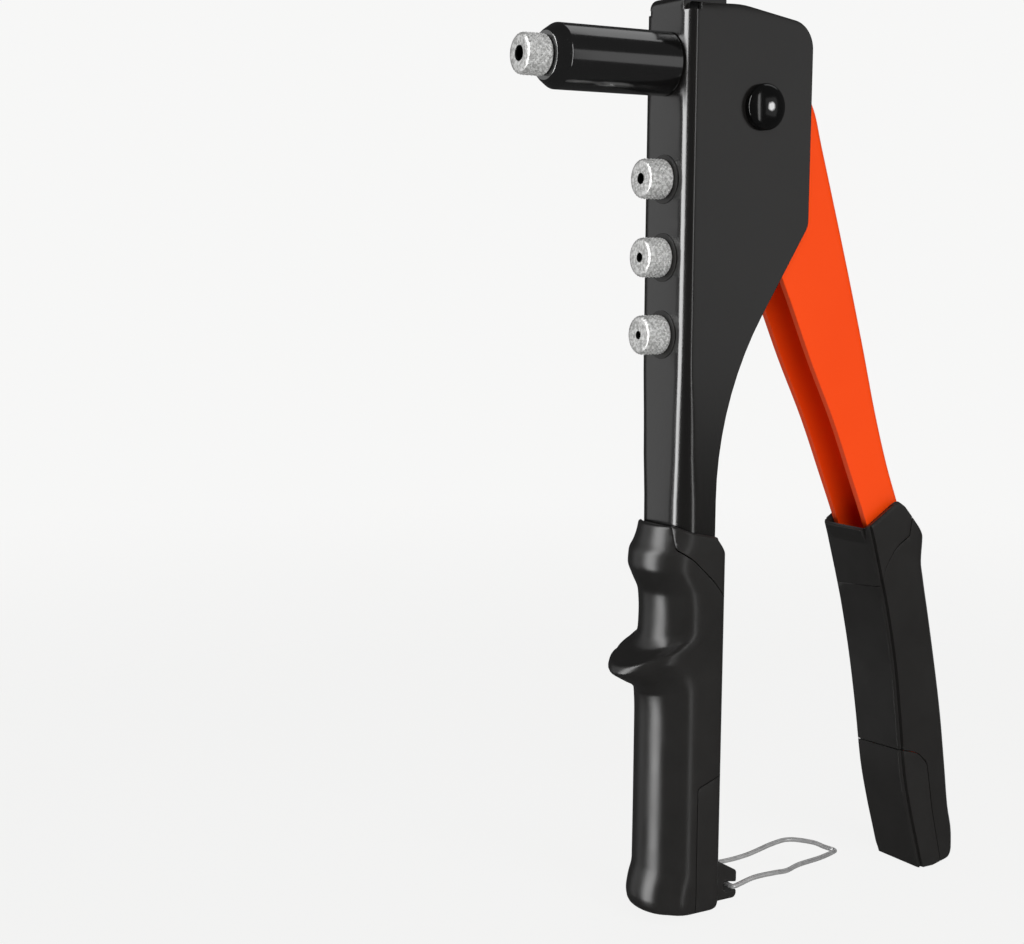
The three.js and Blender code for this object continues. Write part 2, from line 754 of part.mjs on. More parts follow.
const bailHole = rodY(-20, 20, BAIL_WIRE + GAP, 12).translate([BAIL_X, 0, BAIL_Z]);
const fixedHeel = fixedSkin.intersect(fixedHeelRegion(0)).add(bailLug()).subtract(neckRoom);

add(
  riveter,
  "fixed_grip",
  fixedSleeve.subtract(fixedCollarRegion(GAP)).subtract(fixedHeelRegion(GAP)),
  RUBBER,
);
add(riveter, "fixed_grip_collar", fixedSleeve.intersect(fixedCollarRegion(0)), HARD_PLASTIC);
add(riveter, "fixed_grip_heel", fixedHeel.subtract(bailHole), HARD_PLASTIC);

// ---------------------------------------------------------------- moving grip

const movingOutline = across([
  [60, -5],
  [60, 105.3],
  [72.8, 109.9, 4],
  [86, 118, 2.5],
  [90.6, 113, 8],
  [97.4, 105.2, 4],
  [130, 80],
  [130, 3],
  [116.4, 0.4, 1],
  [113.4, -2.2, 2],
  [106, MOVING_FOOT],
  [98, MOVING_FOOT, 0.8],
  [96.8, -2],
]);
const leverRoom = plate(
  [
    [110.5 + GAP, 4.3],
    [104 + GAP, 50, 120],
    [93.4 + GAP, 99, 60],
    [81.9, 134],
    [60, 134],
    [74.6 - GAP, 110, 60],
    [83.8 - GAP, 80, 100],
    [91.4 - GAP, 45, 100],
    [98.8 - GAP, 4.3],
  ],
  -LEVER_HALF - GAP,
  LEVER_HALF + GAP,
);
const movingSleeve = skin(MOVING_GRIP, boxy(4.5)).intersect(movingOutline).subtract(leverRoom);

const movingCollarRegion = (grow) =>
  across([
    [66, 91.3 - grow],
    [78.6, 91.3 - grow, 1],
    [80.2, 97.3 - grow, 8],
    [84.1, 103.2 - 1.3 * grow, 10],
    [89.6 + grow, 106.6 - grow, 1],
    [92.6 + grow, 125],
    [66, 125],
  ]);
const movingHeelRegion = (grow) =>
  across([
    [80, -8],
    [80, 38.6 + grow],
    [90.6, 36.8 + grow, 20],
    [97.4, 35 + grow, 8],
    [101.4 + grow, 31 + grow, 4],
    [104.4 + grow, 15.1, 60],
    [110.4 + grow, -8],
  ]);

add(
  riveter,
  "moving_grip",
  movingSleeve.subtract(movingCollarRegion(GAP)).subtract(movingHeelRegion(GAP)),
  RUBBER,
);
add(riveter, "moving_grip_collar", movingSleeve.intersect(movingCollarRegion(0)), HARD_PLASTIC);
add(riveter, "moving_grip_heel", movingSleeve.intersect(movingHeelRegion(0)), HARD_PLASTIC);

// ---------------------------------------------------------------- bail

// A springy wire loop: its two ends turn inward into the lug, and it is bent by hand to a blunt
// point. Each place is measured from the middle of the hinge.
function bail() {
  const near = [
    [0, 2 - LUG_HALF, 0],
    [0, 1 - BAIL_HALF, 0],
    [1, -BAIL_HALF, 0],
    [8, -BAIL_HALF, 1.4],
    [16, -BAIL_HALF, 1.4],
    [22, -9.9, 0.6],
    [29, -7.5, 0.5],
    [41, -3.6, -0.7],
  ];
  const far = [
    [0, LUG_HALF - 2, 0],
    [0, BAIL_HALF - 1, 0],
    [1, BAIL_HALF, 0],
    [12, BAIL_HALF, -1.5],
    [23, BAIL_HALF, -1.2],
    [34, BAIL_HALF, 0.7],
    [40.4, 10.6, 1.1],
    [46, 6, 0.6],
    [48.6, 3, -0.5],
  ];
  const tip = [50.2, 0, -1];
  const places = [...near, tip, ...far.reverse()];
  const points = places.map(([x, y, z]) => new THREE.Vector3(BAIL_X + x, y, BAIL_Z + z));
  return wire(new THREE.CatmullRomCurve3(points, false, "centripetal"), BAIL_WIRE, 80);
}

add(riveter, "bail_wire", bail(), BRIGHT_STEEL);

// ---------------------------------------------------------------- origin

// The part's own frame has its origin in the middle of the bounding box, at its bottom.
const box = new THREE.Box3().setFromObject(riveter, true);
const middle = box.getCenter(new THREE.Vector3());
const part = new THREE.Group();
part.name = "hand_riveter";
riveter.position.set(-middle.x, -middle.y, -box.min.z);
part.add(riveter);

export default part;
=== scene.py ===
import json
import math

import bmesh
import bpy
from mathutils import Matrix, Vector


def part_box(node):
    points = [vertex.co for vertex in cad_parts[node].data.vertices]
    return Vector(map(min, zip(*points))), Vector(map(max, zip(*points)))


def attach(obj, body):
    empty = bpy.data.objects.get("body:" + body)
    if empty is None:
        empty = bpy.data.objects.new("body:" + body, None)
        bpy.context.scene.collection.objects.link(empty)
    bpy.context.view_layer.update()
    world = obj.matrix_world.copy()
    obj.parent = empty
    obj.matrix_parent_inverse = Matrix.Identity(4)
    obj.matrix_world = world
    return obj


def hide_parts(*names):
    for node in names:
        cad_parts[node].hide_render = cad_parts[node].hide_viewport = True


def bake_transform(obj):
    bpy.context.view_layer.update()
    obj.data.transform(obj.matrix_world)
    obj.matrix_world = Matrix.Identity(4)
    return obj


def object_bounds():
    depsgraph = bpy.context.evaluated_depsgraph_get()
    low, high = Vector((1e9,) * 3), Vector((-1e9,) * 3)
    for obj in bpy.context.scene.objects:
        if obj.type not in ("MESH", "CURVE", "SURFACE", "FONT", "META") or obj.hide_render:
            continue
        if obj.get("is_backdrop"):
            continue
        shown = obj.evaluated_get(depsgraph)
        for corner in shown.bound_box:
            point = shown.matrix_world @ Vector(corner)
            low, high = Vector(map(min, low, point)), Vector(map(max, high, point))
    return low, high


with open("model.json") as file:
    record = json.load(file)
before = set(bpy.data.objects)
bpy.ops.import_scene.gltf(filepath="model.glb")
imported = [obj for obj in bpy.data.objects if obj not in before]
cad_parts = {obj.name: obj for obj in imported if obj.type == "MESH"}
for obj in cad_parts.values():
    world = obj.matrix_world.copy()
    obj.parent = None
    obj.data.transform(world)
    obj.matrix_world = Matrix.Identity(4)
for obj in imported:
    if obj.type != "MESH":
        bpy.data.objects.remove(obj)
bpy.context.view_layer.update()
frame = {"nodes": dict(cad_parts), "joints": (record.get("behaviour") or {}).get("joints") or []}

# ---------------------------------------------------------------- places and sizes, in millimetres
#
# x is measured from the front face of the body's web and y from the middle plane; z = 0 is
# 4.3 mm below the body's foot.

MM = 0.001
WEB_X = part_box("body_channel")[0].x
FOOT = 4.3
BASE_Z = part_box("body_channel")[0].z - FOOT * MM


def place(x, y, z):
    """A point in the tool's own millimetres, in the frame's metres."""
    return Vector((WEB_X + x * MM, y * MM, BASE_Z + z * MM))


def tool_x(x):
    """An x of the frame's metres as the tool's own millimetres."""
    return (x - WEB_X) / MM


def tool_z(z):
    """A z of the frame's metres as the tool's own millimetres."""
    return (z - BASE_Z) / MM


def middle(node):
    """The centre of a CAD node's box, in the tool's own millimetres."""
    low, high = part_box(node)
    centre = (low + high) / 2
    return tool_x(centre.x), centre.y / MM, tool_z(centre.z)


def joint_place(name):
    """A hinge's (x, z) in the tool's own millimetres."""
    x, _, z = next(j for j in frame["joints"] if j["name"] == name)["pos_m"]
    return tool_x(x), tool_z(z)


SHEET = 2.0
NOSE_Z = middle("nose_barrel")[2]
PIVOT_X, PIVOT_Z = joint_place("lever_pivot")
BAIL_X, BAIL_Z = joint_place("bail_pivot")
BODY_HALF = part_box("body_channel")[1].y / MM
BODY_DEPTH = tool_x(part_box("body_channel")[1].x)
LEVER_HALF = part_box("lever_channel")[1].y / MM
NECK_DEPTH = 12.5
TAB_TOP = tool_z(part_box("body_channel")[1].z)
BODY_TOP = TAB_TOP - SHEET
GAP = 0.3
STORED = "nosepiece_4_0mm", "nosepiece_3_2mm", "nosepiece_2_4mm"
THROUGH_WEB = -9, 9
THROUGH_CHEEKS = -30, 30
THROUGH_TAIL = 0, 40
TAIL_HOLE = 3.7

# ---------------------------------------------------------------- outlines


def rounded(corners, step=math.radians(6)):
    """A closed polygon of (x, y) or (x, y, radius) corners, with its corners rounded."""
    points = []
    for i, (x, y, *radius) in enumerate(corners):
        corner = Vector((x, y))
        if not radius:
            points.append(corner)
            continue
        before = (Vector(corners[i - 1][:2]) - corner).normalized()
        after = (Vector(corners[(i + 1) % len(corners)][:2]) - corner).normalized()
        half = before.angle(after) / 2
        run = radius[0] / math.tan(half)
        centre = corner + (before + after).normalized() * (radius[0] / math.sin(half))
        start = corner + before * run - centre
        end = corner + after * run - centre
        turn = math.atan2(start.x * end.y - start.y * end.x, start.dot(end))
        steps = max(2, math.ceil(abs(turn) / step))
        for k in range(steps + 1):
            angle = turn * k / steps
            points.append(centre + Matrix.Rotation(angle, 2) @ start)
    return points


def smooth(rows, steps):
    """Rows of numbers with `steps` rows put between each two, on Catmull-Rom curves."""
    result = []
    for i in range(len(rows) - 1):
        a, b, c, d = rows[max(i - 1, 0)], rows[i], rows[i + 1], rows[min(i + 2, len(rows) - 1)]
        for k in range(steps):
            t = k / steps
            result.append(
                [
                    0.5 * (2 * q + (r - p) * t + (2 * p - 5 * q + 4 * r - s) * t**2
                           + (3 * q - p - 3 * r + s) * t**3)
                    for p, q, r, s in zip(a, b, c, d)
                ]
            )
    return result + [list(rows[-1])]


def steady(rows, steps):
    """Like smooth, for rows unevenly spaced in their first number, and without overshoot."""
    def slope(i, n):
        if i == 0 or i == len(rows) - 1:
            return 0.0
        before = (rows[i][n] - rows[i - 1][n]) / (rows[i][0] - rows[i - 1][0])
        after = (rows[i + 1][n] - rows[i][n]) / (rows[i + 1][0] - rows[i][0])
        if before * after <= 0:
            return 0.0
        return 2 * before * after / (before + after)

    result = []
    for i in range(len(rows) - 1):
        run = rows[i + 1][0] - rows[i][0]
        for k in range(steps):
            t = k / steps
            row = [rows[i][0] + run * t]
            for n in range(1, len(rows[i])):
                h00, h10 = 2 * t**3 - 3 * t**2 + 1, t**3 - 2 * t**2 + t
                h01, h11 = 3 * t**2 - 2 * t**3, t**3 - t**2
                row.append(h00 * rows[i][n] + h10 * run * slope(i, n)
                           + h01 * rows[i + 1][n] + h11 * run * slope(i + 1, n))
            result.append(row)
    return result + [list(rows[-1])]


# ---------------------------------------------------------------- meshes


def add_object(name, data):
    made = bpy.data.objects.new(name, data)
    bpy.context.scene.collection.objects.link(made)
    return made


def new_piece(name, bm):
    bmesh.ops.remove_doubles(bm, verts=bm.verts, dist=1e-6)
    bmesh.ops.recalc_face_normals(bm, faces=bm.faces)
    mesh = bpy.data.meshes.new(name)
    bm.to_mesh(mesh)
    bm.free()
    return add_object(name, mesh)


def settle(piece, sharp=38):
    """Applies a piece's modifiers, and shades it smooth except over edges sharper than that."""
    graph = bpy.context.evaluated_depsgraph_get()
    mesh = bpy.data.meshes.new_from_object(piece.evaluated_get(graph))
    piece.modifiers.clear()
    old, piece.data = piece.data, mesh
    bpy.data.meshes.remove(old)
    mesh.name = piece.name
    mesh.shade_smooth()
    mesh.set_sharp_from_angle(angle=math.radians(sharp))
    return piece


def soften(piece, width, segments=3, angle=50):
    """Rounds a piece's edges that are sharper than the angle, to a radius in millimetres."""
    bevel = piece.modifiers.new("edges", "BEVEL")
    bevel.width = width * MM
    bevel.segments = segments
    bevel.limit_method = "ANGLE"
    bevel.angle_limit = math.radians(angle)
    bevel.use_clamp_overlap = True
    bevel.harden_normals = False
    normals = piece.modifiers.new("normals", "WEIGHTED_NORMAL")
    normals.keep_sharp = True
    return piece


def combine(piece, other, operation):
    """Cuts, joins or intersects a piece with another, which is used up."""
    boolean = piece.modifiers.new("boolean", "BOOLEAN")
    boolean.object = other
    boolean.operation = operation
    boolean.solver = "EXACT"
    settle(piece)
    mesh = other.data
    bpy.data.objects.remove(other)
    bpy.data.meshes.remove(mesh)
    return piece


def loft(bm, rings, closed=False):
    """Faces between rings of points; a ring of one point is a pole."""
    made = [[bm.verts.new(point) for point in ring] for ring in rings]
    pairs = list(zip(made, made[1:] + made[:1]))
    for low, high in pairs if closed else pairs[:-1]:
        count = max(len(low), len(high))
        for i in range(count):
            j = (i + 1) % count
            around = (low, i), (low, j), (high, j), (high, i)
            corners = list(dict.fromkeys(ring[k % len(ring)] for ring, k in around))
            if len(corners) > 2:
                bm.faces.new(corners)
    return made


def capped(name, rings):
    """A solid between rings of points, closed at both ends."""
    bm = bmesh.new()
    made = loft(bm, rings)
    bm.faces.new(made[0])
    bm.faces.new(made[-1])
    return new_piece(name, bm)


def prism(name, corners, y0, y1):
    """A side outline of (x, z) corners, solid from y0 to y1."""
    outline = rounded(corners)
    return capped(name, [[place(p.x, y, p.y) for p in outline] for y in (y0, y1)])


def turned(name, profile, centre, axis="X", segments=96, step=15, phase=0.0):
    """A closed profile of (place along the axis, radius) corners, turned about that axis."""
    outline = rounded(profile, math.radians(step))
    bm = bmesh.new()
    rings = []
    for along, radius in outline:
        if radius < 1e-6:
            angles = [0.0]
        else:
            angles = [2 * math.pi * (k + phase) / segments for k in range(segments)]
        ring = []
        for angle in angles:
            a, b = radius * math.cos(angle), radius * math.sin(angle)
            offset = (along, a, b) if axis == "X" else (a, along, b)
            ring.append(place(*(c + o for c, o in zip(centre, offset))))
        rings.append(ring)
    loft(bm, rings, closed=True)
    return new_piece(name, bm)


def bore(piece, radius, ends, centre, axis="X", segments=48):
    """Cuts a round hole through a piece, from one end to the other along the axis.

    The cutter is turned by half a side, so that none of its points falls on the mid-plane's edges.
    """
    a, b = ends
    profile = [(a, 0), (a, radius), (b, radius), (b, 0)]
    hole = turned("hole", profile, centre, axis, segments, phase=0.5)
    return combine(piece, hole, "DIFFERENCE")


def wire(name, points, radius, sides=12):
    """A round wire through points, with closed ends, as a mesh."""
    curve = bpy.data.curves.new(name, "CURVE")
    curve.dimensions = "3D"
    curve.bevel_depth = radius * MM
    curve.bevel_resolution = sides // 4
    curve.use_fill_caps = True
    spline = curve.splines.new("POLY")
    spline.points.add(len(points) - 1)
    for slot, point in zip(spline.points, points):
        slot.co = (*point, 1)
    piece = add_object(name, curve)
    graph = bpy.context.evaluated_depsgraph_get()
    mesh = bpy.data.meshes.new_from_object(piece.evaluated_get(graph))
    bpy.data.objects.remove(piece)
    bm = bmesh.new()
    bm.from_mesh(mesh)
    bpy.data.meshes.remove(mesh)
    return settle(new_piece(name, bm))


# ---------------------------------------------------------------- camera

camera = add_object("camera", bpy.data.cameras.new("camera"))
camera.data.sensor_width = 36
camera.data.lens = 61.04
camera.location = place(-295.77, -406.01, 193.97)
yaw, pitch, roll = (math.radians(angle) for angle in (31.21, -7.23, 0.39))
camera.matrix_world = (
    Matrix.Translation(camera.location)
    @ Matrix.Rotation(-yaw, 4, "Z")
    @ Matrix.Rotation(math.pi / 2 + pitch, 4, "X")
    @ Matrix.Rotation(roll, 4, "Z")
)
bpy.context.scene.camera = camera

# ---------------------------------------------------------------- materials


class Shader:
    """A material's node tree, with a Principled shader and short ways to add to it."""

    def __init__(self, name, **values):
        self.material = bpy.data.materials.new(name)
        self.material.use_nodes = True
        self.tree = self.material.node_tree
        self.surface = self.tree.nodes["Principled BSDF"]
        for socket, value in values.items():
            self.surface.inputs[socket.replace("_", " ")].default_value = value
        self.place = self.node("ShaderNodeTexCoord").outputs["Object"]

    def node(self, kind, inputs=(), **settings):
        made = self.tree.nodes.new(kind)
        for name, value in settings.items():
            setattr(made, name, value)
        for name, value in dict(inputs).items():
            if isinstance(value, bpy.types.NodeSocket):
                self.tree.links.new(value, made.inputs[name])
            else:
                made.inputs[name].default_value = value
        return made

    def noise(self, size, detail=2.0, roughness=0.5, stretch=(1, 1, 1)):
        """Noise whose grains are about `size` millimetres, stretched along the axes."""
        place = self.node("ShaderNodeMapping", {"Vector": self.place, "Scale": stretch})
        noise = self.node(
            "ShaderNodeTexNoise",
            {
                "Vector": place.outputs["Vector"],
                "Scale": 1 / (size * MM),
                "Detail": detail,
                "Roughness": roughness,
            },
        )
        return noise.outputs["Fac"]

    def grains(self, size, randomness=1.0):
        cells = self.node(
            "ShaderNodeTexVoronoi",
            {"Vector": self.place, "Scale": 1 / (size * MM), "Randomness": randomness},
        )
        return cells.outputs["Distance"]

    def ramp(self, factor, low, high, start=0.0, end=1.0):
        """The factor's range from start to end, spread over low to high."""
        spread = self.node(
            "ShaderNodeMapRange",
            {"Value": factor, "From Min": start, "From Max": end, "To Min": low, "To Max": high},
        )
        return spread.outputs["Result"]

    def math(self, operation, a, b=0.0):
        made = self.node("ShaderNodeMath", operation=operation)
        for socket, value in zip(made.inputs, (a, b)):
            if isinstance(value, bpy.types.NodeSocket):
                self.tree.links.new(value, socket)
            else:
                socket.default_value = value
        return made.outputs[0]

    def mix(self, factor, a, b):
        made = self.node(
            "ShaderNodeMix", {"Factor": factor}, data_type="RGBA", clamp_factor=True
        )
        for name, value in (("A", a), ("B", b)):
            socket = next(s for s in made.inputs if s.name == name and s.type == "RGBA")
            if isinstance(value, bpy.types.NodeSocket):
                self.tree.links.new(value, socket)
            else:
                socket.default_value = value
        return next(s for s in made.outputs if s.type == "RGBA")

    def bump(self, height, distance, strength=1.0, over=None):
        """Adds relief of that many millimetres, over an earlier bump if one is given."""
        inputs = {"Height": height, "Distance": distance * MM, "Strength": strength}
        if over is not None:
            inputs["Normal"] = over
        return self.node("ShaderNodeBump", inputs).outputs["Normal"]

    def set(self, socket, value):
        self.tree.links.new(value, self.surface.inputs[socket])

    def clouds(self, cloud, low, high):
        """A colour that drifts between two by a noise."""
        return self.mix(self.ramp(cloud, 0, 1, 0.3, 0.7), low, high)

    def patchy(self, patches, low, high):
        """Sets a roughness that drifts from low to high by a noise."""
        self.set("Roughness", self.ramp(patches, low, high, 0.3, 0.7))


def grey(value, warm=1.0):
    return (value * warm, value, value / warm, 1)


def powder_coat(name, low, high, smoothest, roughest, **values):
    shader = Shader(name, **values)
    shader.set("Base Color", shader.clouds(shader.noise(40.0, 2.0), low, high))
    shader.patchy(shader.noise(24.0, 3.0), smoothest, roughest)
    shader.set("Normal", shader.bump(shader.noise(0.9, 2.0), 0.003, 0.3))
    return shader.material


def gloss_black(name="gloss_black_plating", ior=2.55, crown=None):
    """Black plating; with a crown, a small round at that point is painted light grey as a painted
    highlight.
    """
    shader = Shader(name, IOR=ior)
    paint = shader.clouds(shader.noise(14.0, 3.0), grey(0.0025), grey(0.004))
    if crown is not None:
        # Painted highlight: a light grey round about 1 mm across, centred on the crown point,
        # standing for the dome's reflection of a lamp.
        away = shader.node("ShaderNodeVectorMath", operation="DISTANCE")
        shader.tree.links.new(shader.place, away.inputs[0])
        away.inputs[1].default_value = crown
        wobble = shader.ramp(shader.noise(0.8, 2.0), -0.0003, 0.0003)
        reach = shader.math("ADD", away.outputs["Value"], wobble)
        painted_highlight_share = shader.ramp(reach, 1.0, 0.0, 0.0008, 0.0014)
        paint = shader.mix(painted_highlight_share, paint, (0.75, 0.75, 0.75, 1))
    shader.set("Base Color", paint)
    shader.patchy(shader.noise(9.0, 3.0), 0.12, 0.16)
    shader.set("Normal", shader.bump(shader.noise(2.2, 2.0), 0.002, 0.3))
    return shader.material


def soft_grip():
    shader = Shader("soft_grip_rubber", Specular_IOR_Level=0.5)
    cloud = shader.noise(18.0, 4.0, 0.6)
    shader.set("Base Color", shader.clouds(cloud, grey(0.0165, 1.05), grey(0.0205, 1.05)))
    shader.patchy(shader.noise(9.0, 4.0), 0.30, 0.36)
    grain = shader.bump(shader.grains(0.42), 0.006, 0.30)
    shader.set("Normal", shader.bump(shader.noise(1.6, 3.0), 0.004, 0.25, grain))
    return shader.material


def hard_grip():
    shader = Shader("hard_grip_plastic", Specular_IOR_Level=0.46)
    cloud = shader.noise(14.0, 4.0, 0.6)
    shader.set("Base Color", shader.clouds(cloud, grey(0.0175, 1.05), grey(0.0215, 1.05)))
    shader.patchy(shader.noise(5.0, 4.0), 0.32, 0.38)
    shader.set("Normal", shader.bump(shader.noise(0.3, 3.0, 0.7), 0.003, 0.35))
    return shader.material


def bright_steel():
    shader = Shader("zinc_plated_steel", Metallic=0.4)
    glint = shader.ramp(shader.noise(0.9, 2.0, 0.7), 0, 1, 0.38, 0.62)
    shader.set("Base Color", shader.mix(glint, (0.46, 0.46, 0.45, 1), (0.92, 0.92, 0.91, 1)))
    shader.patchy(shader.noise(0.8, 4.0, 0.7), 0.3, 0.5)
    shader.set("Normal", shader.bump(shader.grains(0.5), 0.03, 0.6))
    return shader.material


def turned_steel(name, axis, low=0.16, high=0.34):
    """Machined steel with fine rings round the axis: the noise is stretched across it."""
    shader = Shader(name, Metallic=1.0)
    stretch = tuple(1.0 if letter == axis else 0.06 for letter in "XYZ")
    rings = shader.noise(0.25, 3.0, 0.6, stretch)
    shader.set("Base Color", shader.clouds(shader.noise(4.0, 4.0, 0.65), grey(low), grey(high)))
    shader.patchy(rings, 0.28, 0.46)
    shader.set("Normal", shader.bump(rings, 0.01, 0.5))
    return shader.material


def spring_wire():
    shader = Shader("spring_wire_steel", Metallic=0.6)
    shader.set("Base Color", shader.clouds(shader.noise(2.5, 3.0, 0.6), grey(0.55), grey(0.74)))
    shader.patchy(shader.noise(0.6, 3.0), 0.3, 0.42)
    shader.set("Normal", shader.bump(shader.noise(0.6, 2.0), 0.002, 0.3))
    return shader.material


BLACK_COAT = powder_coat(
    "black_powder_coat",
    grey(0.0072, 1.07),
    grey(0.0092, 1.07),
    0.19,
    0.22,
    Specular_IOR_Level=1.0,
)
ORANGE_COAT = powder_coat(
    "orange_powder_coat",
    (0.97, 0.070, 0.0042, 1),
    (1.0, 0.076, 0.0052, 1),
    0.28,
    0.34,
    Specular_IOR_Level=0.3,
)
FINISH = {
    "body_paint": BLACK_COAT,
    "lever_paint": ORANGE_COAT,
    "gloss_black": gloss_black(),
    "grip_soft": soft_grip(),
    "grip_hard": hard_grip(),
    "nosepiece_steel": bright_steel(),
    "tool_steel": turned_steel("turned_tool_steel", "X"),
    "spring_wire": spring_wire(),
}
PIVOT_STEEL = turned_steel("turned_pivot_steel", "Y")
# Painted shade: a near-black steel for the nosepieces' bores, so that the holes look dark as if in
# shadow.
BORE_SHADE_STEEL = turned_steel("bore_painted_shade_steel", "X", 0.012, 0.03)


def finish(piece, body, slot, *nodes):
    """Gives a piece its material, its body and the CAD nodes that it stands for."""
    piece.data.materials.clear()
    piece.data.materials.append(FINISH[slot])
    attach(piece, body)
    if nodes:
        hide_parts(*nodes)
    return piece


def repaint(node, material):
    """Gives a carried-over CAD node's own slots a material."""
    piece = frame["nodes"][node]
    for holder in piece.material_slots:
        holder.material = material


# ---------------------------------------------------------------- pressed channels


def grid(name, rows):
    """A sheet from rows of points, with no face where a row has None."""
    bm = bmesh.new()
    made = [[None if point is None else bm.verts.new(point) for point in row] for row in rows]
    for low, high in zip(made, made[1:]):
        for i in range(len(low) - 1):
            corners = (low[i], low[i + 1], high[i + 1], high[i])
            if None not in corners:
                bm.faces.new(corners)
    return new_piece(name, bm)


def thicken(piece, inside):
    """Solidifies a sheet by SHEET towards the side on which the point `inside` lies."""
    face = piece.data.polygons[0]
    inward = (inside - face.center).dot(face.normal)
    solid = piece.modifiers.new("thickness", "SOLIDIFY")
    solid.thickness = SHEET * MM
    solid.offset = 1 if inward > 0 else -1
    solid.use_even_offset = True
    solid.use_quality_normals = True
    return settle(piece)


def spread(table, z):
    """A smooth value from a table of (z, value) rows, held past its ends."""
    if z <= table[0][0]:
        return table[0][1]
    for (z0, v0), (z1, v1) in zip(table, table[1:]):
        if z <= z1:
            t = (z - z0) / (z1 - z0)
            return v0 + (v1 - v0) * t * t * (3 - 2 * t)
    return table[-1][1]


CORNER_NOTCH = 0.9  # how far the notches beside the tab reach into the cheeks
CORNER_X, CORNER_Z = 3 + CORNER_NOTCH, BODY_TOP - 0.6  # where each cheek's top begins
BEND_ANGLES = [0, 20, 27, 34, 42, 54, 66, 78, 90]  # round each bend, from the web


def body_shell():
    """The body's channel: a deep head, a shallow neck, and the web's top folded back."""
    bend_deep = [(118, 6.2), (140, 4.6), (165, 3.2), (206, 3.0)]
    bend_wide = [(118, 6.5), (140, 5.6), (165, 5.0), (206, 5.0)]
    notch_z = 261.0
    outline = rounded(
        [
            (NECK_DEPTH, FOOT),
            (NECK_DEPTH, 151.8, 99),
            (BODY_DEPTH, 202, 5),
            (BODY_DEPTH, 259.3, 8),
            (18, BODY_TOP, 30),
            (CORNER_X, CORNER_Z),
            (CORNER_X, FOOT),
        ],
        math.radians(4),
    )
    corner = max(range(len(outline)), key=lambda i: outline[i].x + outline[i].y)
    edge = outline[: corner + 1]
    top = [p for p in outline[corner:] if p.x > CORNER_X + 1e-6]
    top.append(Vector((CORNER_X, CORNER_Z)))
    top.reverse()
    shares = [0.0]
    for a, b in zip(top, top[1:]):
        shares.append(shares[-1] + (b - a).length)
    shares = [s / shares[-1] for s in shares]

    # Between bare corners of the outline the rows stay at most 8 mm apart.
    rear = [edge[0]]
    for point in edge[1:]:
        steps = max(1, math.ceil((point - rear[-1]).length / 8))
        start = rear[-1].copy()
        rear += [start.lerp(point, k / steps) for k in range(1, steps + 1)]
    upright = [p for p in rear if p.y < 250]
    arc = [p for p in rear if p.y >= 250]
    fold = [p.y for p in upright]
    start_z = upright[-1].y
    for k in range(len(arc)):
        fold.append(start_z + (CORNER_Z - start_z) * (k + 1) / len(arc))
    nearest = min(range(len(fold)), key=lambda i: abs(fold[i] - notch_z))
    fold[nearest] = notch_z

    rows = []
    for row, (z, point) in enumerate(zip(fold, upright + arc)):
        deep, wide = spread(bend_deep, z), spread(bend_wide, z)
        last = row == len(fold) - 1
        cheek = []
        for i, share in enumerate(shares):
            start = Vector((deep + CORNER_NOTCH, z))
            cheek.append(tuple(top[i] if last else start.lerp(point, share)))
        curve = []
        for angle in BEND_ANGLES:
            turn = math.radians(angle)
            curve.append((deep * (1 - math.cos(turn)), BODY_HALF - wide * (1 - math.sin(turn))))
        half = []
        for k, (x, y) in enumerate(curve):
            cut = z > notch_z + 1e-6 and k > 1
            half.append(None if cut else (x, y, min(z, notch_z + (z - notch_z) * 0.6)))
        rows.append(half + [(x, BODY_HALF, cheek_z) for x, cheek_z in cheek])
    # The tab: the web's columns carry on over a bend and back between the cheeks.
    tab = []
    for turn in range(0, 91, 15):
        angle = math.radians(turn)
        tab.append((3 - 3 * math.cos(angle), BODY_TOP - 1 + 3 * math.sin(angle)))
    tab += [(6, TAB_TOP), (10, TAB_TOP), (15, TAB_TOP)]
    wide = bend_wide[-1][1]
    edges = [BODY_HALF - wide * (1 - math.sin(math.radians(turn))) for turn in BEND_ANGLES[:2]]
    for x, z in tab:
        half = [(x, y, z) for y in edges]
        rows.append(half + [None] * (len(BEND_ANGLES) - 2 + len(shares)))

    full = []
    for half in rows:
        near = [None if p is None else place(p[0], -p[1], p[2]) for p in reversed(half)]
        far = [None if p is None else place(*p) for p in half]
        centre = [] if half[0] is None else [place(half[0][0], 0, half[0][2])]
        full.append(near + centre + far)
    shell = thicken(grid("body_shell", full), place(20, 0, 230))
    settle(soften(shell, 0.3))
    bore(shell, 8.1, THROUGH_WEB, (0, 0, NOSE_Z), segments=96)
    for node in STORED:
        bore(shell, 4.3, THROUGH_WEB, (0, 0, middle(node)[2]))
    bore(shell, 3.3, THROUGH_CHEEKS, (PIVOT_X, 0, PIVOT_Z), "Y")
    return finish(shell, "frame", "body_paint", "body_channel")


body_shell()


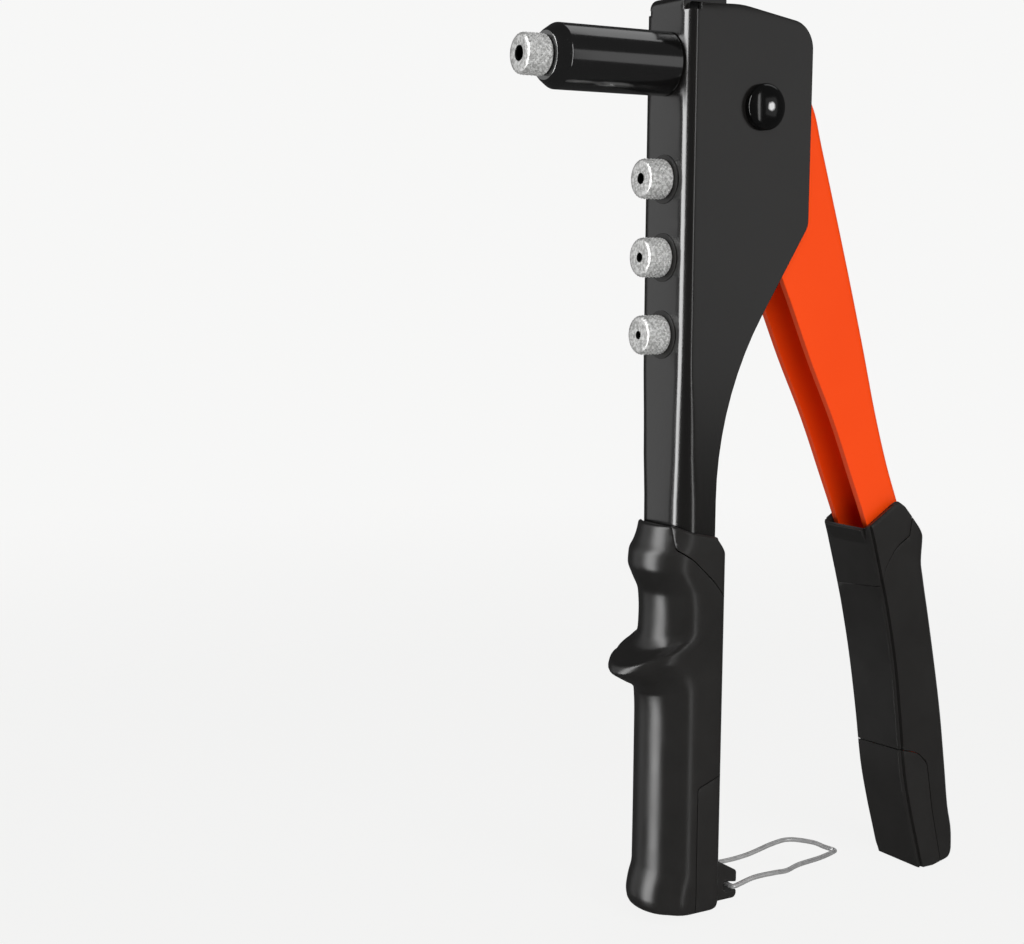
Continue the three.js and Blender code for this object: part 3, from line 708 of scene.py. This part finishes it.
def lever_shell():
    """The lever's channel, with its web behind and two arms that reach past the pivot."""
    bend = 2.6
    # Front edge (x, z), then back edge (x, z), from the grip's foot up to the web's top.
    pairs = smooth(
        [
            (98.6, 7, 110, 7),
            (95.4, 25, 107.4, 26),
            (91.4, 45, 104.4, 47),
            (87.8, 63, 101.2, 65),
            (83.8, 80, 98, 81),
            (79.6, 95, 94.4, 97),
            (74.6, 110, 90, 112),
            (67.4, 126.4, 83.2, 129),
            (59.6, 143.6, 77.5, 146),
            (50, 162, 72.3, 164),
            (41.6, 179.6, 66.9, 182),
            (34, 194.4, 61.9, 198),
            (26, 210, 56.9, 213.6),
            (20.6, 220, 52.9, 226),
            (17.4, 225.6, 50.1, 235),
            (15, 230, 46.7, 241.2),
        ],
        5,
    )
    arms = [
        (13.4, 232.6, 38, 241.3),
        (12, 234.6, 31, 241.3),
        (11.2, 236.4, 25, 241.0),
        (10.8, 238.4, 19.6, 239.6),
        (10.6, 240.6, 17.1, 240.2),
        (10.6, 243, 16.6, 243),
        (10.6, 246, 16.6, 246),
        (11, 247.6, 16.3, 247.6),
        (11.8, 248.6, 15.5, 248.6),
        (12.8, 249, 14.5, 249),
    ]
    shares = [0, 0.04, 0.12, 0.25, 0.4, 0.55, 0.7, 0.82, 0.9, 0.96, 1]
    rows = []
    for row in pairs + arms:
        front, back = Vector(row[:2]), Vector(row[2:])
        along = (back - front).normalized()
        web = row in pairs
        run = (back - front).length - (bend if web else 0)
        half = []
        for angle in BEND_ANGLES:
            turn = math.radians(angle)
            point = back - along * bend * (1 - math.cos(turn))
            width = LEVER_HALF - bend * (1 - math.sin(turn))
            half.append((point.x, width, point.y) if web else None)
        fold = front + along * run
        for share in reversed(shares[:-1]):
            point = front.lerp(fold, share)
            half.append((point.x, LEVER_HALF, point.y))
        if not web:
            half[len(BEND_ANGLES) - 1] = (back.x, LEVER_HALF, back.y)
        near = [None if p is None else place(p[0], -p[1], p[2]) for p in reversed(half)]
        far = [None if p is None else place(*p) for p in half]
        rows.append(near + [place(back.x, 0, back.y) if web else None] + far)
    shell = thicken(grid("lever_shell", rows), place(60, 0, 150))
    settle(soften(shell, 0.35))
    bore(shell, 4.1, THROUGH_CHEEKS, (PIVOT_X, 0, PIVOT_Z), "Y")
    return finish(shell, "lever", "lever_paint", "lever_channel")


lever_shell()

# ---------------------------------------------------------------- grips

# The fixed grip from the bottom up: height, front, rear, half width, length of its rounded nose,
# and how much higher its sides are than its middle.
FIXED_GRIP = [
    [-0.9, -1.6, 13.6, 9.6, 9.2, 0],
    [-0.75, -3.1, 14.7, 10.8, 9.8, 0],
    [-0.3, -4.4, 15.7, 11.8, 10.2, 0],
    [0.5, -5.3, 16.2, 12.4, 10.4, 0],
    [2, -5.9, 16.4, 12.7, 10.5, 0],
    [4, -6.1, 16.5, 12.8, 10.5, 0],
    [8, -5.5, 16.5, 12.8, 10.5, 0],
    [13, -4.2, 16.4, 12.7, 10.5, 0],
    [34, -4.1, 16.4, 12.7, 10.5, 0],
    [58, -4.1, 16.4, 12.7, 10.5, 0.2],
    [65, -4.7, 16.4, 12.7, 11.3, 2.8],
    [67.8, -6.9, 16.4, 12.7, 13, 4],
    [70.2, -11.3, 16.4, 12.7, 15.3, 4.5],
    [72.7, -14.7, 16.4, 12.7, 16.8, 4.5],
    [74.7, -13.9, 16.4, 12.7, 16.4, 4.5],
    [76.7, -9.6, 16.4, 12.7, 14.6, 4.5],
    [79.2, -5.3, 16.4, 12.7, 12.4, 4],
    [83, -3.4, 16.4, 12.7, 11, 3],
    [89, -3.1, 16.4, 12.7, 10.5, 1.6],
    [95, -3.5, 16.4, 12.7, 10.5, 0.5],
    [100, -5.7, 16.4, 12.7, 10.5, 0],
    [104, -7.2, 16.4, 12.7, 10.5, 0],
    [107.5, -6.9, 16.4, 12.7, 10.5, 0],
    [110.5, -5.2, 16.4, 12.6, 10.4, 0],
    [113.5, -4.1, 16.3, 12.4, 10.2, 0],
    [118, -3.4, 16.1, 12.2, 10, 0],
]
# The moving grip: height, front, rear, half width, front corner radius.
MOVING_GRIP = [
    [-5, 100.2, 115, 9.9, 1.4],
    [0, 98.6, 116.4, 10.1, 1.4],
    [5, 97.1, 116.2, 10.1, 1.4],
    [15, 94.1, 114, 10.1, 1.4],
    [29, 90.6, 111.9, 10.1, 1.4],
    [46, 88, 109, 10.3, 1.4],
    [64, 84.9, 105.1, 10.6, 1.4],
    [82, 80.8, 101, 10.7, 1.4],
    [92, 78, 98.7, 10.7, 1.4],
    [98, 76.2, 97.6, 10.7, 1.4],
    [105, 74.1, 97.9, 10.7, 1.4],
    [119, 70.2, 97.4, 10.6, 1.4],
]


def quarter(number, centre, reach, steps=9):
    """A quarter of an ellipse, counted from +X towards +Y."""
    angles = [(number + k / steps) * math.pi / 2 for k in range(steps + 1)]
    (x, y), (wide, deep) = centre, reach
    return [(x + wide * math.cos(a), y + deep * math.sin(a)) for a in angles]


def straight(a, b, steps=12):
    """The places strictly between two corners."""
    return [tuple(Vector(a).lerp(Vector(b), k / steps)) for k in range(1, steps)]


def closed(nose, rear, half, radius):
    """A closed outline: the points of its front, two rounded rear corners and divided flats."""
    x, y = rear - radius, half - radius
    near, far = quarter(3, (x, -y), (radius, radius)), quarter(0, (x, y), (radius, radius))
    outline = nose + straight(nose[-1], near[0]) + near + straight(near[-1], far[0], 6) + far
    return outline + straight(far[-1], nose[0])


def boxy(row, rear_radius):
    """A level section that is a rectangle with rounded corners."""
    z, front, rear, half, radius = row
    x, y = front + radius, half - radius
    far, near = quarter(1, (x, y), (radius, radius)), quarter(2, (x, -y), (radius, radius))
    nose = far + straight(far[-1], near[0], 6) + near
    return [Vector((*point, z)) for point in closed(nose, rear, half, rear_radius)]


def bell(distance, width):
    """1 at no distance, falling to nothing."""
    return math.exp(-((distance / width) ** 2))


def nosed(row, rear_radius):
    """A section with half an ellipse as its front, and sides that may be higher than its middle."""
    z, front, rear, half, reach, lift = row
    centre = (front + reach, 0)
    nose = quarter(1, centre, (reach, half), 12) + quarter(2, centre, (reach, half), 12)[1:]
    valley = centre[0] - 0.6 * reach
    depth = 0.6 * min(1.0, max(0.0, (104 - z) / 8))
    nose = [(x, y - math.copysign(depth * bell(x - valley, 1.7), y) if y else y) for x, y in nose]
    points = closed(nose, rear, half, rear_radius)
    return [Vector((x, y, z + lift * (y / half) ** 2)) for x, y in points]


def station(rows, z):
    """The section at a height, on the smooth curves through dense rows."""
    for low, high in zip(rows, rows[1:]):
        if z <= high[0]:
            t = max(0.0, (z - low[0]) / (high[0] - low[0]))
            return [z] + [a + (b - a) * t for a, b in zip(low[1:], high[1:])]
    return [z] + rows[-1][1:]


def roof_height(corners):
    """The height of a roof line of (x, z, radius) corners at an x."""
    line = rounded(corners)

    def height(x):
        for a, b in zip(line, line[1:]):
            if a.x <= x <= b.x:
                return a.y + (b.y - a.y) * (x - a.x) / max(b.x - a.x, 1e-9)
        return line[-1].y

    return height


def sleeve(name, outline, rows, rear_radius, room, room_radius, top, lip, bend_from):
    """A closed-bottomed grip sleeve. `outline` makes the outer sections from the rows, `room`
    gives the inner section at a height, `top` the top's height at an x, and `lip` the radius of
    its rounded rim; above bend_from the sections rise to follow the top."""
    levels = [row[0] for row in rows if row[0] < bend_from]
    outer = [outline(station(rows, z), rear_radius) for z in levels]
    count = 26

    def skin(share):
        """The section that is `share` of the way from bend_from to the rim."""
        points = []
        for i in range(len(outer[0])):
            z = bend_from
            for _ in range(12):
                point = outline(station(rows, z), rear_radius)[i]
                z = bend_from + (top(point.x) - lip - bend_from) * share
            points.append(Vector((point.x, point.y, z)))
        return points

    for k in range(count + 1):
        outer.append(skin(k / count))
    rim = outer[-1]
    inner_top = boxy(room(max(p.z for p in rim)), room_radius)
    walls = [Vector((b.x - a.x, b.y - a.y, 0)) for a, b in zip(rim, inner_top)]
    for k in range(1, 6):
        angle = math.pi / 2 * k / 5
        outer.append([])
        for point, wall in zip(rim, walls):
            reach = min(lip, 0.6 * wall.length)
            moved = point + wall.normalized() * reach * (1 - math.cos(angle))
            moved.z = top(point.x) - lip * (1 - math.sin(angle))
            outer[-1].append(moved)
    inner = []
    edge = 0.5
    for k in range(4):
        angle = math.pi / 2 * k / 3
        inner.append([])
        for target, wall in zip(inner_top, walls):
            reach = min(edge, 0.25 * wall.length)
            moved = target - wall.normalized() * reach * (1 - math.sin(angle))
            moved.z = top(target.x) - edge * (1 - math.cos(angle))
            inner[-1].append(moved)
    for z in (100.0, 80.0, 60.0, 40.0, 20.0, room(0)[0]):
        inner.append(boxy(room(z), room_radius))
    return settle(capped(name, [[place(*p) for p in points] for points in outer + inner]))


def region(corners, slope=0.0):
    """A cutter that runs right across; with a slope it is lower on the far side."""
    cutter = prism("region", corners, -20, 20)
    for vert in cutter.data.vertices:
        vert.co.z -= slope * (vert.co.y + 10.7 * MM)
    return cutter


CUT_EDGE = 0.24  # how far the edges beside a cut are rounded
MOVING_FOOT = -3.9


def split(whole, grip, body, collar, heel, slopes=(0.0, 0.0)):
    """Cuts a sleeve across into its soft middle, its collar and its heel."""
    main = add_object(grip + "_sleeve", whole.data.copy())
    combine(main, region(collar(GAP), slopes[0]), "DIFFERENCE")
    combine(main, region(heel(GAP), slopes[1]), "DIFFERENCE")
    upper = add_object(grip + "_collar_insert", whole.data.copy())
    combine(upper, region(collar(0), slopes[0]), "INTERSECT")
    lower = combine(whole, region(heel(0), slopes[1]), "INTERSECT")
    lower.name = grip + "_heel_insert"
    for piece in (main, upper, lower):
        settle(soften(piece, CUT_EDGE, 2))
    finish(main, body, "grip_soft", grip)
    finish(upper, body, "grip_hard", grip + "_collar")
    finish(lower, body, "grip_hard", grip + "_heel")


def fixed_grip():
    rear = 16.4

    def room(z):
        return [max(z, FOOT - GAP), -GAP, NECK_DEPTH + GAP, BODY_HALF + GAP, 6.8]

    def collar(grow):
        return [
            (-0.8 - grow, 125),
            (-0.8 - grow, 109.5 - grow, 1.2),
            (4.2, 106.2 - 1.3 * grow, 10),
            (11.3, 99.7 - 1.4 * grow, 20),
            (rear + 3, 90 - 1.6 * grow),
            (rear + 3, 125),
        ]

    def heel(grow):
        return [
            (7.2 - grow, -5),
            (7.2 - grow, 37.9 + grow, 1.5),
            (rear + 3, 42.4 + grow),
            (rear + 3, -5),
        ]

    front_roof = [(-20, 115.9), (-0.6, 115.9, 4), (3, 114.3, 6)]
    top = roof_height(front_roof + [(12.6, 112.3, 3), (rear, 107.2, 1.5), (20, 95)])
    rows = steady(FIXED_GRIP, 4)
    whole = sleeve("fixed_grip_whole", nosed, rows, 2.5, room, 0.3, top, 1.0, 100.0)
    split(whole, "fixed_grip", "frame", collar, heel)


def edge_groove(rows, side):
    """A cutter for the groove that follows the moving grip's front edge on one side."""
    rings = []
    for z, front, _, half, _ in rows:
        across = ((0.2, half + 1), (0.6, half - 1.1), (1.5, half - 1.1), (1.9, half + 1))
        rings.append([place(front + x, side * y, z) for x, y in across])
    return capped("groove", rings)


def moving_grip():
    # The lever's front and back edges inside the grip, with a gap.
    lever = [
        [z, front - 0.4, back + 0.7]
        for z, front, back in (
            (7, 98.6, 110),
            (45, 91.4, 104.3),
            (80, 83.8, 98),
            (110, 74.6, 90.5),
            (120, 70.2, 86.5),
        )
    ]

    def room(z):
        z = max(z, lever[0][0] - GAP)
        _, front, back = station(lever, z)
        return [z, front, back, LEVER_HALF + GAP, 0.4]

    def collar(grow):
        return [
            (66, 91.3 - grow),
            (78.6, 91.3 - grow, 1),
            (80.2, 97.3 - grow, 8),
            (84.1, 103.2 - 1.3 * grow, 10),
            (89.6 + grow, 106.6 - grow, 1),
            (92.6 + grow, 125),
            (66, 125),
        ]

    def heel(grow):
        return [
            (80, -8),
            (80, 38.6 + grow),
            (90.6, 36.8 + grow, 20),
            (97.4, 35 + grow, 8),
            (101.4 + grow, 31 + grow, 4),
            (104.4 + grow, 15.1, 60),
            (110.4 + grow, -8),
        ]

    top = roof_height(
        [(60, 105.3), (72.8, 109.9, 4), (86, 118, 2.5), (90.6, 113, 8), (97.4, 105.2, 4), (130, 80)]
    )
    rows = steady(MOVING_GRIP, 4)
    whole = sleeve("moving_grip_whole", boxy, rows, 4.5, room, 2.6, top, 0.9, 90.0)
    foot = [
        (60, -2),
        (96.8, -2),
        (98, MOVING_FOOT, 0.8),
        (106, MOVING_FOOT),
        (113.4, -2.2, 2),
        (116.4, 0.4, 1),
        (130, 3),
        (130, 130),
        (60, 130),
    ]
    combine(whole, region(foot), "INTERSECT")
    settle(soften(whole, 0.9, 4))
    for side in (-1, 1):
        combine(whole, edge_groove(rows, side), "DIFFERENCE")
    split(whole, "moving_grip", "lever", collar, heel, (0.12, 0.04))


fixed_grip()
moving_grip()


def bail_lug():
    """The block behind the fixed grip's foot, slotted from behind for the bail's ends."""
    back, half = 24.6, 9.8
    lug = prism(
        "bail_lug",
        [
            (16.7, 0.8),
            (back, 0.8, 1.5),
            (back, 3.3, 0.5),
            (19.6, 3.3, 1.2),
            (19.6, 6.5, 1.2),
            (back, 5.6, 0.5),
            (back, 9.2, 1.2),
            (19, 12.4, 1),
            (16.7, 12.4),
        ],
        -half,
        half,
    )
    finish(settle(soften(lug, 0.5)), "frame", "grip_hard")


bail_lug()

# ---------------------------------------------------------------- nose and nosepieces


def nose_barrel():
    front = tool_x(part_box("nose_barrel")[0].x)
    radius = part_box("nose_barrel")[1].y / MM
    barrel = turned(
        "nose_barrel_turned",
        [
            (front, 4.3),
            (front, 6.6, 0.3),
            (front + 1.1, 7.5, 0.5),
            (front + 3.4, radius, 1.6),
            (-0.3, radius, 0.3),
            (-0.3, 7.8),
            (5.8, 7.8, 0.3),
            (5.8, 6.65),
            (front + 4.4, 6.65),
            (front + 4.4, 4.3),
        ],
        (0, 0, NOSE_Z),
        segments=128,
        step=10,
    )
    settle(barrel)
    finish(barrel, "frame", "gloss_black", "nose_barrel")


def nosepiece(node, body, hole):
    """A knurled head with chamfers, a flat face with a countersunk hole, and a threaded spigot."""
    low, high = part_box(node)
    front = tool_x(low.x)
    radius = high.y / MM
    head, thread, spigot_end, end = 7.7, 4.0, 12.6, 16.4
    teeth, depth, around, knurled = 30, 0.32, 180, 34
    nose, pitch = 1.3, 1.0  # radius of the front edge, and the thread's pitch
    _, _, axis_z = middle(node)

    def knurl(along, angle):
        """Depth of the diamond knurl, 0 on a diamond's crest."""
        rise = 2 * math.pi * radius / teeth
        a = (angle * teeth / (2 * math.pi) + along / rise) % 1
        b = (angle * teeth / (2 * math.pi) - along / rise) % 1
        return depth * max(abs(a - 0.5), abs(b - 0.5)) * 2

    # Each row is a place along the axis, a radius and the knurl's share there.
    rows = [(0.5, hole, 0), (0.0, hole + 0.35, 0), (0.0, hole + 1.2, 0), (0.0, radius - 1.5, 0)]
    for k in range(1, 6):
        turn = math.pi / 2 * k / 5
        along = nose * (1 - math.cos(turn))
        rows.append((along, radius - nose * (1 - math.sin(turn)), k / 5))
    for k in range(1, knurled + 1):
        rows.append((nose + (head - 2.0) * k / knurled, radius, 1))
    rows += [(head - 0.4, radius - 0.2, 0.6), (head - 0.1, radius - 0.55, 0)]
    rows += [(head, radius - 0.9, 0), (head, thread - 0.3, 0)]
    steps = round((spigot_end - head) / pitch * 4)
    for k in range(1, steps + 1):
        along = head + (spigot_end - head) * k / steps
        rows.append((along, thread - (0.0, 0.22, 0.45, 0.22)[k % 4], 0))
    rows += [(spigot_end + 0.4, 2.9, 0), (end - 0.2, 2.5, 0), (end, 2.35, 0), (end, hole, 0)]
    bm = bmesh.new()
    rings = []
    for along, r, share in rows:
        points = []
        for i in range(around):
            angle = 2 * math.pi * i / around
            now = r - share * knurl(along, angle)
            points.append(
                place(front + along, now * math.cos(angle), axis_z + now * math.sin(angle))
            )
        rings.append(points)
    loft(bm, rings, closed=True)
    piece = settle(new_piece(node.replace("nosepiece", "knurled_nosepiece"), bm), 32)
    finish(piece, body, "nosepiece_steel", node)
    # Painted shade inside the hole: faces near the axis get the near-black steel.
    piece.data.materials.append(BORE_SHADE_STEEL)
    for face in piece.data.polygons:
        away = math.hypot(face.center.y, face.center.z - place(0, 0, axis_z).z) / MM
        if away < hole + 0.3:
            face.material_index = 1


def painted_shade_ring(node):
    """A thin black ring on the web, behind a stored nosepiece's head: painted shade, standing for
    the contact shadow between head and web.
    """
    profile = [(-0.27, 4.4), (-0.27, 6.9, 0.1), (-0.02, 6.9, 0.1), (-0.02, 4.4)]
    seat = turned("painted_shade_ring" + node[9:], profile, (0, 0, middle(node)[2]), segments=64)
    finish(settle(seat), "frame", "grip_soft")


nose_barrel()
# Each stored head gets a black ring of painted shade behind it.
for stored in STORED:
    painted_shade_ring(stored)
nosepiece("nosepiece_4_8mm", "fitted_tip", 1.8)
nosepiece("nosepiece_4_0mm", "spare_tip_top", 1.25)
nosepiece("nosepiece_3_2mm", "spare_tip_middle", 1.05)
nosepiece("nosepiece_2_4mm", "spare_tip_bottom", 0.85)

# ---------------------------------------------------------------- pivot


def pivot_bolt():
    seat, crown, radius, shaft = BODY_HALF + GAP, 15.0, 6.6, 3.0
    profile = [(14.2, 0), (14.2, 2.6), (13.8, shaft), (-seat, shaft), (-seat, radius, 0.35)]
    profile.append((-seat - 1.0, radius))
    steps = 18
    for k in range(1, steps + 1):
        turn = math.pi / 2 * k / steps
        reach = crown - seat - 1.0
        profile.append((-seat - 1.0 - reach * math.sin(turn), radius * math.cos(turn)))
    profile[-1] = (-crown, 0)
    bolt = turned("pivot_bolt_turned", profile, (PIVOT_X, 0, PIVOT_Z), "Y", 96)
    finish(settle(bolt), "frame", "gloss_black", "pivot_bolt")
    # The head's material gets a painted highlight: a light grey round at the dome's top.
    top = place(PIVOT_X, -crown, PIVOT_Z)
    bolt.data.materials[0] = gloss_black("gloss_black_painted_highlight_crown", 1.6, top)


def pivot_nut():
    seat, crown = BODY_HALF + GAP, 15.0
    profile = [
        (seat, 3.3),
        (seat, 6.2, 0.3),
        (seat + 1.1, 6.2, 0.5),
        (seat + 2.3, 5.2, 0.6),
        (crown, 4.4, 0.5),
        (crown, 3.3, 0.25),
    ]
    nut = turned("pivot_nut_turned", profile, (PIVOT_X, 0, PIVOT_Z), "Y", 96)
    finish(settle(nut), "frame", "gloss_black", "pivot_nut")


pivot_bolt()
pivot_nut()

# ---------------------------------------------------------------- wire parts


def catmull(points, steps):
    """Points on a Catmull-Rom curve through points."""
    return [Vector(p) for p in smooth([list(p) for p in points], steps)]


def bail():
    radius, half, lug_half = 0.75, 11.2, 9.8
    near = [
        (0, 3.4 - lug_half, 0),
        (0, 1 - lug_half, 0),
        (0, 0.8 - half, 0),
        (1, -half, 0.1),
        (8, -half, 1.4),
        (16, -half, 1.4),
        (22, -9.9, 0.6),
        (29, -7.5, 0.5),
        (41, -3.6, -0.7),
        (48.6, -1.0, -1.0),
    ]
    far = [
        (0, lug_half - 3.4, 0),
        (0, lug_half - 1, 0),
        (0, half - 0.8, 0),
        (1, half, -0.1),
        (12, half, -1.5),
        (23, half, -1.2),
        (34, half, 0.7),
        (40.4, 10.6, 1.1),
        (46, 6, 0.6),
        (48.6, 3, -0.5),
    ]
    places = near + [(50.2, 0.3, -1)] + far[::-1]
    line = catmull([place(BAIL_X + x, y, BAIL_Z + z) for x, y, z in places], 8)
    loop = wire("bail_wire_loop", line, radius)
    return finish(loop, "bail", "spring_wire", "bail_wire")


def return_spring():
    coil_wire, coil_half, turns = 0.7, 2.6, 3
    coil = 3.8 + GAP + coil_wire
    body_leg = Vector((SHEET + GAP + coil_wire - PIVOT_X, -12.4))
    lever_leg = Vector((23.2, -26))
    start = math.atan2(body_leg.y, body_leg.x) + math.acos(coil / body_leg.length)
    end = math.atan2(lever_leg.y, lever_leg.x) - math.acos(coil / lever_leg.length)
    turn = start - end + 2 * math.pi * turns
    points = [(body_leg.x, -coil_half, body_leg.y)]
    steps = 150
    for k in range(steps + 1):
        angle = start - turn * k / steps
        across = -coil_half + 2 * coil_half * k / steps
        points.append((coil * math.cos(angle), across, coil * math.sin(angle)))
    points.append((lever_leg.x, coil_half, lever_leg.y))
    line = [place(PIVOT_X + x, y, PIVOT_Z + z) for x, y, z in points]
    spring = wire("return_spring_coil", line, coil_wire)
    spring.data.materials.append(FINISH["spring_wire"])
    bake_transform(spring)
    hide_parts("return_spring")


bail()
return_spring()

# ---------------------------------------------------------------- pull mechanism


def jaw_case():
    """The case's outside is turned finely; its tail carries the crosshead's thread."""
    front = tool_x(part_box("jaw_case")[0].x)
    end = tool_x(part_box("jaw_case")[1].x)
    step = 16.7
    profile = [
        (front, 3.4),
        (front, 6.3, 0.5),
        (1.0, 6.3, 0.4),
        (1.0, 4.8),
        (step, 4.8, 0.3),
        (step, 3.2),
    ]
    threads = 12
    for k in range(threads * 4):
        along = step + 0.6 + (end - 0.8 - step - 0.6) * k / (threads * 4 - 1)
        profile.append((along, 3.4 - (0.0, 0.15, 0.3, 0.15)[k % 4]))
    profile += [(end, 2.9), (end, 2.2), (-2.0, 2.2), (-2.0, 5.3), (-21.8, 5.3), (-31.8, 3.6)]
    case = settle(turned("jaw_case_turned", profile, (0, 0, NOSE_Z), segments=64))
    finish(case, "jaw_carrier", "tool_steel", "jaw_case")


def crosshead():
    low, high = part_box("pull_crosshead")
    x0, x1 = tool_x(low.x), tool_x(high.x)
    z0, z1 = tool_z(low.z), tool_z(high.z)
    head = prism(
        "pull_crosshead_plate",
        [(x0, z0), (x1, z0, 0.8), (x1, z1, 0.8), (x0, z1)],
        low.y / MM,
        high.y / MM,
    )
    bore(head, TAIL_HOLE, THROUGH_TAIL, (0, 0, NOSE_Z))
    settle(soften(head, 0.3))
    finish(head, "jaw_carrier", "tool_steel", "pull_crosshead")


def lock_nut():
    """A hexagon with its corners turned off to a cone."""
    low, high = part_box("crosshead_lock_nut")
    x0, x1 = tool_x(low.x), tool_x(high.x)
    corner = 11 / math.sqrt(3)
    turns = [math.radians(60 * k) for k in range(6)]
    hexagon = [(corner * math.cos(turn), NOSE_Z + corner * math.sin(turn)) for turn in turns]
    rings = [[place(x, y, z) for y, z in hexagon] for x in (x0, x1)]
    nut = capped("crosshead_lock_nut_hex", rings)
    cone = turned(
        "cone",
        [(x0, 0), (x0, 5.7), (x0 + 0.5, 6.4), (x1 - 0.5, 6.4), (x1, 5.7), (x1, 0)],
        (0, 0, NOSE_Z),
    )
    combine(nut, cone, "INTERSECT")
    bore(nut, TAIL_HOLE, THROUGH_TAIL, (0, 0, NOSE_Z))
    settle(soften(nut, 0.15, 2, 25))
    finish(nut, "jaw_carrier", "tool_steel", "crosshead_lock_nut")


jaw_case()
crosshead()
lock_nut()
for carried in ("barrel_lock_ring", "jaw_upper", "jaw_lower", "jaw_pusher"):
    repaint(carried, FINISH["tool_steel"])
repaint("jaw_spring", FINISH["spring_wire"])
for carried in ("pivot_bush", "pivot_washer_near", "pivot_washer_far"):
    repaint(carried, PIVOT_STEEL)

# ---------------------------------------------------------------- floor and lights


def node_in(tree, kind, *inputs):
    """A node with its first inputs linked to sockets or set to values."""
    made = tree.nodes.new(kind)
    for socket, value in zip(made.inputs, inputs):
        if isinstance(value, bpy.types.NodeSocket):
            tree.links.new(value, socket)
        else:
            socket.default_value = value
    return made


def floor():
    """A wide pale floor that fades into the background."""
    bm = bmesh.new()
    bmesh.ops.create_grid(bm, x_segments=8, y_segments=8, size=3.0)
    mesh = bpy.data.meshes.new("floor")
    bm.to_mesh(mesh)
    bm.free()
    plane = add_object("floor", mesh)
    plane.location = (0, 0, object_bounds()[0].z - 0.0003)
    plane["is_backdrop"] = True
    plane.visible_glossy = False

    material = bpy.data.materials.new("studio_floor")
    material.use_nodes = True
    tree = material.node_tree
    tree.nodes.clear()
    glow = node_in(tree, "ShaderNodeEmission", WHITE, FLOOR_GLOW)
    paint = node_in(tree, "ShaderNodeBsdfDiffuse", (FLOOR_PAINT, FLOOR_PAINT, FLOOR_PAINT, 1))
    both = node_in(tree, "ShaderNodeAddShader", glow.outputs[0], paint.outputs[0])
    clear = node_in(tree, "ShaderNodeBsdfTransparent")
    here = node_in(tree, "ShaderNodeTexCoord").outputs["Object"]
    away = node_in(tree, "ShaderNodeVectorMath", here)
    away.operation = "LENGTH"
    share = node_in(tree, "ShaderNodeMapRange", away.outputs["Value"], *FLOOR_FADE)
    share.interpolation_type = "SMOOTHSTEP"
    share = share.outputs["Result"]
    fade = node_in(tree, "ShaderNodeMixShader", share, both.outputs[0], clear.outputs[0])
    node_in(tree, "ShaderNodeOutputMaterial", fade.outputs[0])
    mesh.materials.append(material)


def studio_light(name, azimuth, elevation, distance, width, height, radiance, target=(0, 0, 0.13)):
    """A soft box that faces the target. Azimuth is counted from +X towards +Y, in degrees, and
    radiance is what the box shows in a mirror, as a share of white."""
    a, e = math.radians(azimuth), math.radians(elevation)
    out = Vector((math.cos(a) * math.cos(e), math.sin(a) * math.cos(e), math.sin(e)))
    light = bpy.data.lights.new(name, "AREA")
    light.shape = "RECTANGLE"
    light.size, light.size_y = width, height
    light.energy = radiance * math.pi * width * height
    box = add_object(name, light)
    box.location = Vector(target) + out * distance
    box.rotation_mode = "QUATERNION"
    box.rotation_quaternion = out.to_track_quat("Z", "Y")
    box.visible_camera = False
    return box


def background():
    """White to the camera, and a dim even room for the light."""
    world = bpy.data.worlds.new("studio")
    bpy.context.scene.world = world
    world.use_nodes = True
    tree = world.node_tree
    tree.nodes.clear()
    seen = node_in(tree, "ShaderNodeBackground", WHITE)
    room = node_in(tree, "ShaderNodeBackground", (ROOM, ROOM, ROOM, 1))
    camera_ray = node_in(tree, "ShaderNodeLightPath").outputs["Is Camera Ray"]
    mix = node_in(tree, "ShaderNodeMixShader", camera_ray, room.outputs[0], seen.outputs[0])
    node_in(tree, "ShaderNodeOutputWorld", mix.outputs[0])


WHITE = (0.93, 0.93, 0.925, 1)
ROOM = 0.05
FLOOR_GLOW = 0.94
FLOOR_PAINT = 0.045
FLOOR_FADE = 0.25, 0.9  # metres from the middle, where the floor starts and ends its fading

bpy.context.scene.view_settings.view_transform = "Standard"
floor()
background()
strip = studio_light("left_strip", 168, 10, 1.0, 0.5, 1.7, 7.6)
strip.visible_diffuse = False
studio_light("left_wall", 126, 8, 1.1, 0.45, 1.5, 0.55)
studio_light("front_line", 274, 4, 1.1, 0.16, 1.5, 2.4)
studio_light("front_right", 309, 9, 1.1, 0.55, 0.56, 0.33)
studio_light("right_back", 15, 53, 1.1, 0.7, 0.62, 0.7)
studio_light("right_rim", 30, 4, 1.2, 0.6, 1.3, 0.5)
fill = studio_light("camera_side_fill", 258, 30, 1.4, 1.2, 1.2, 3.3)
fill.visible_glossy = False
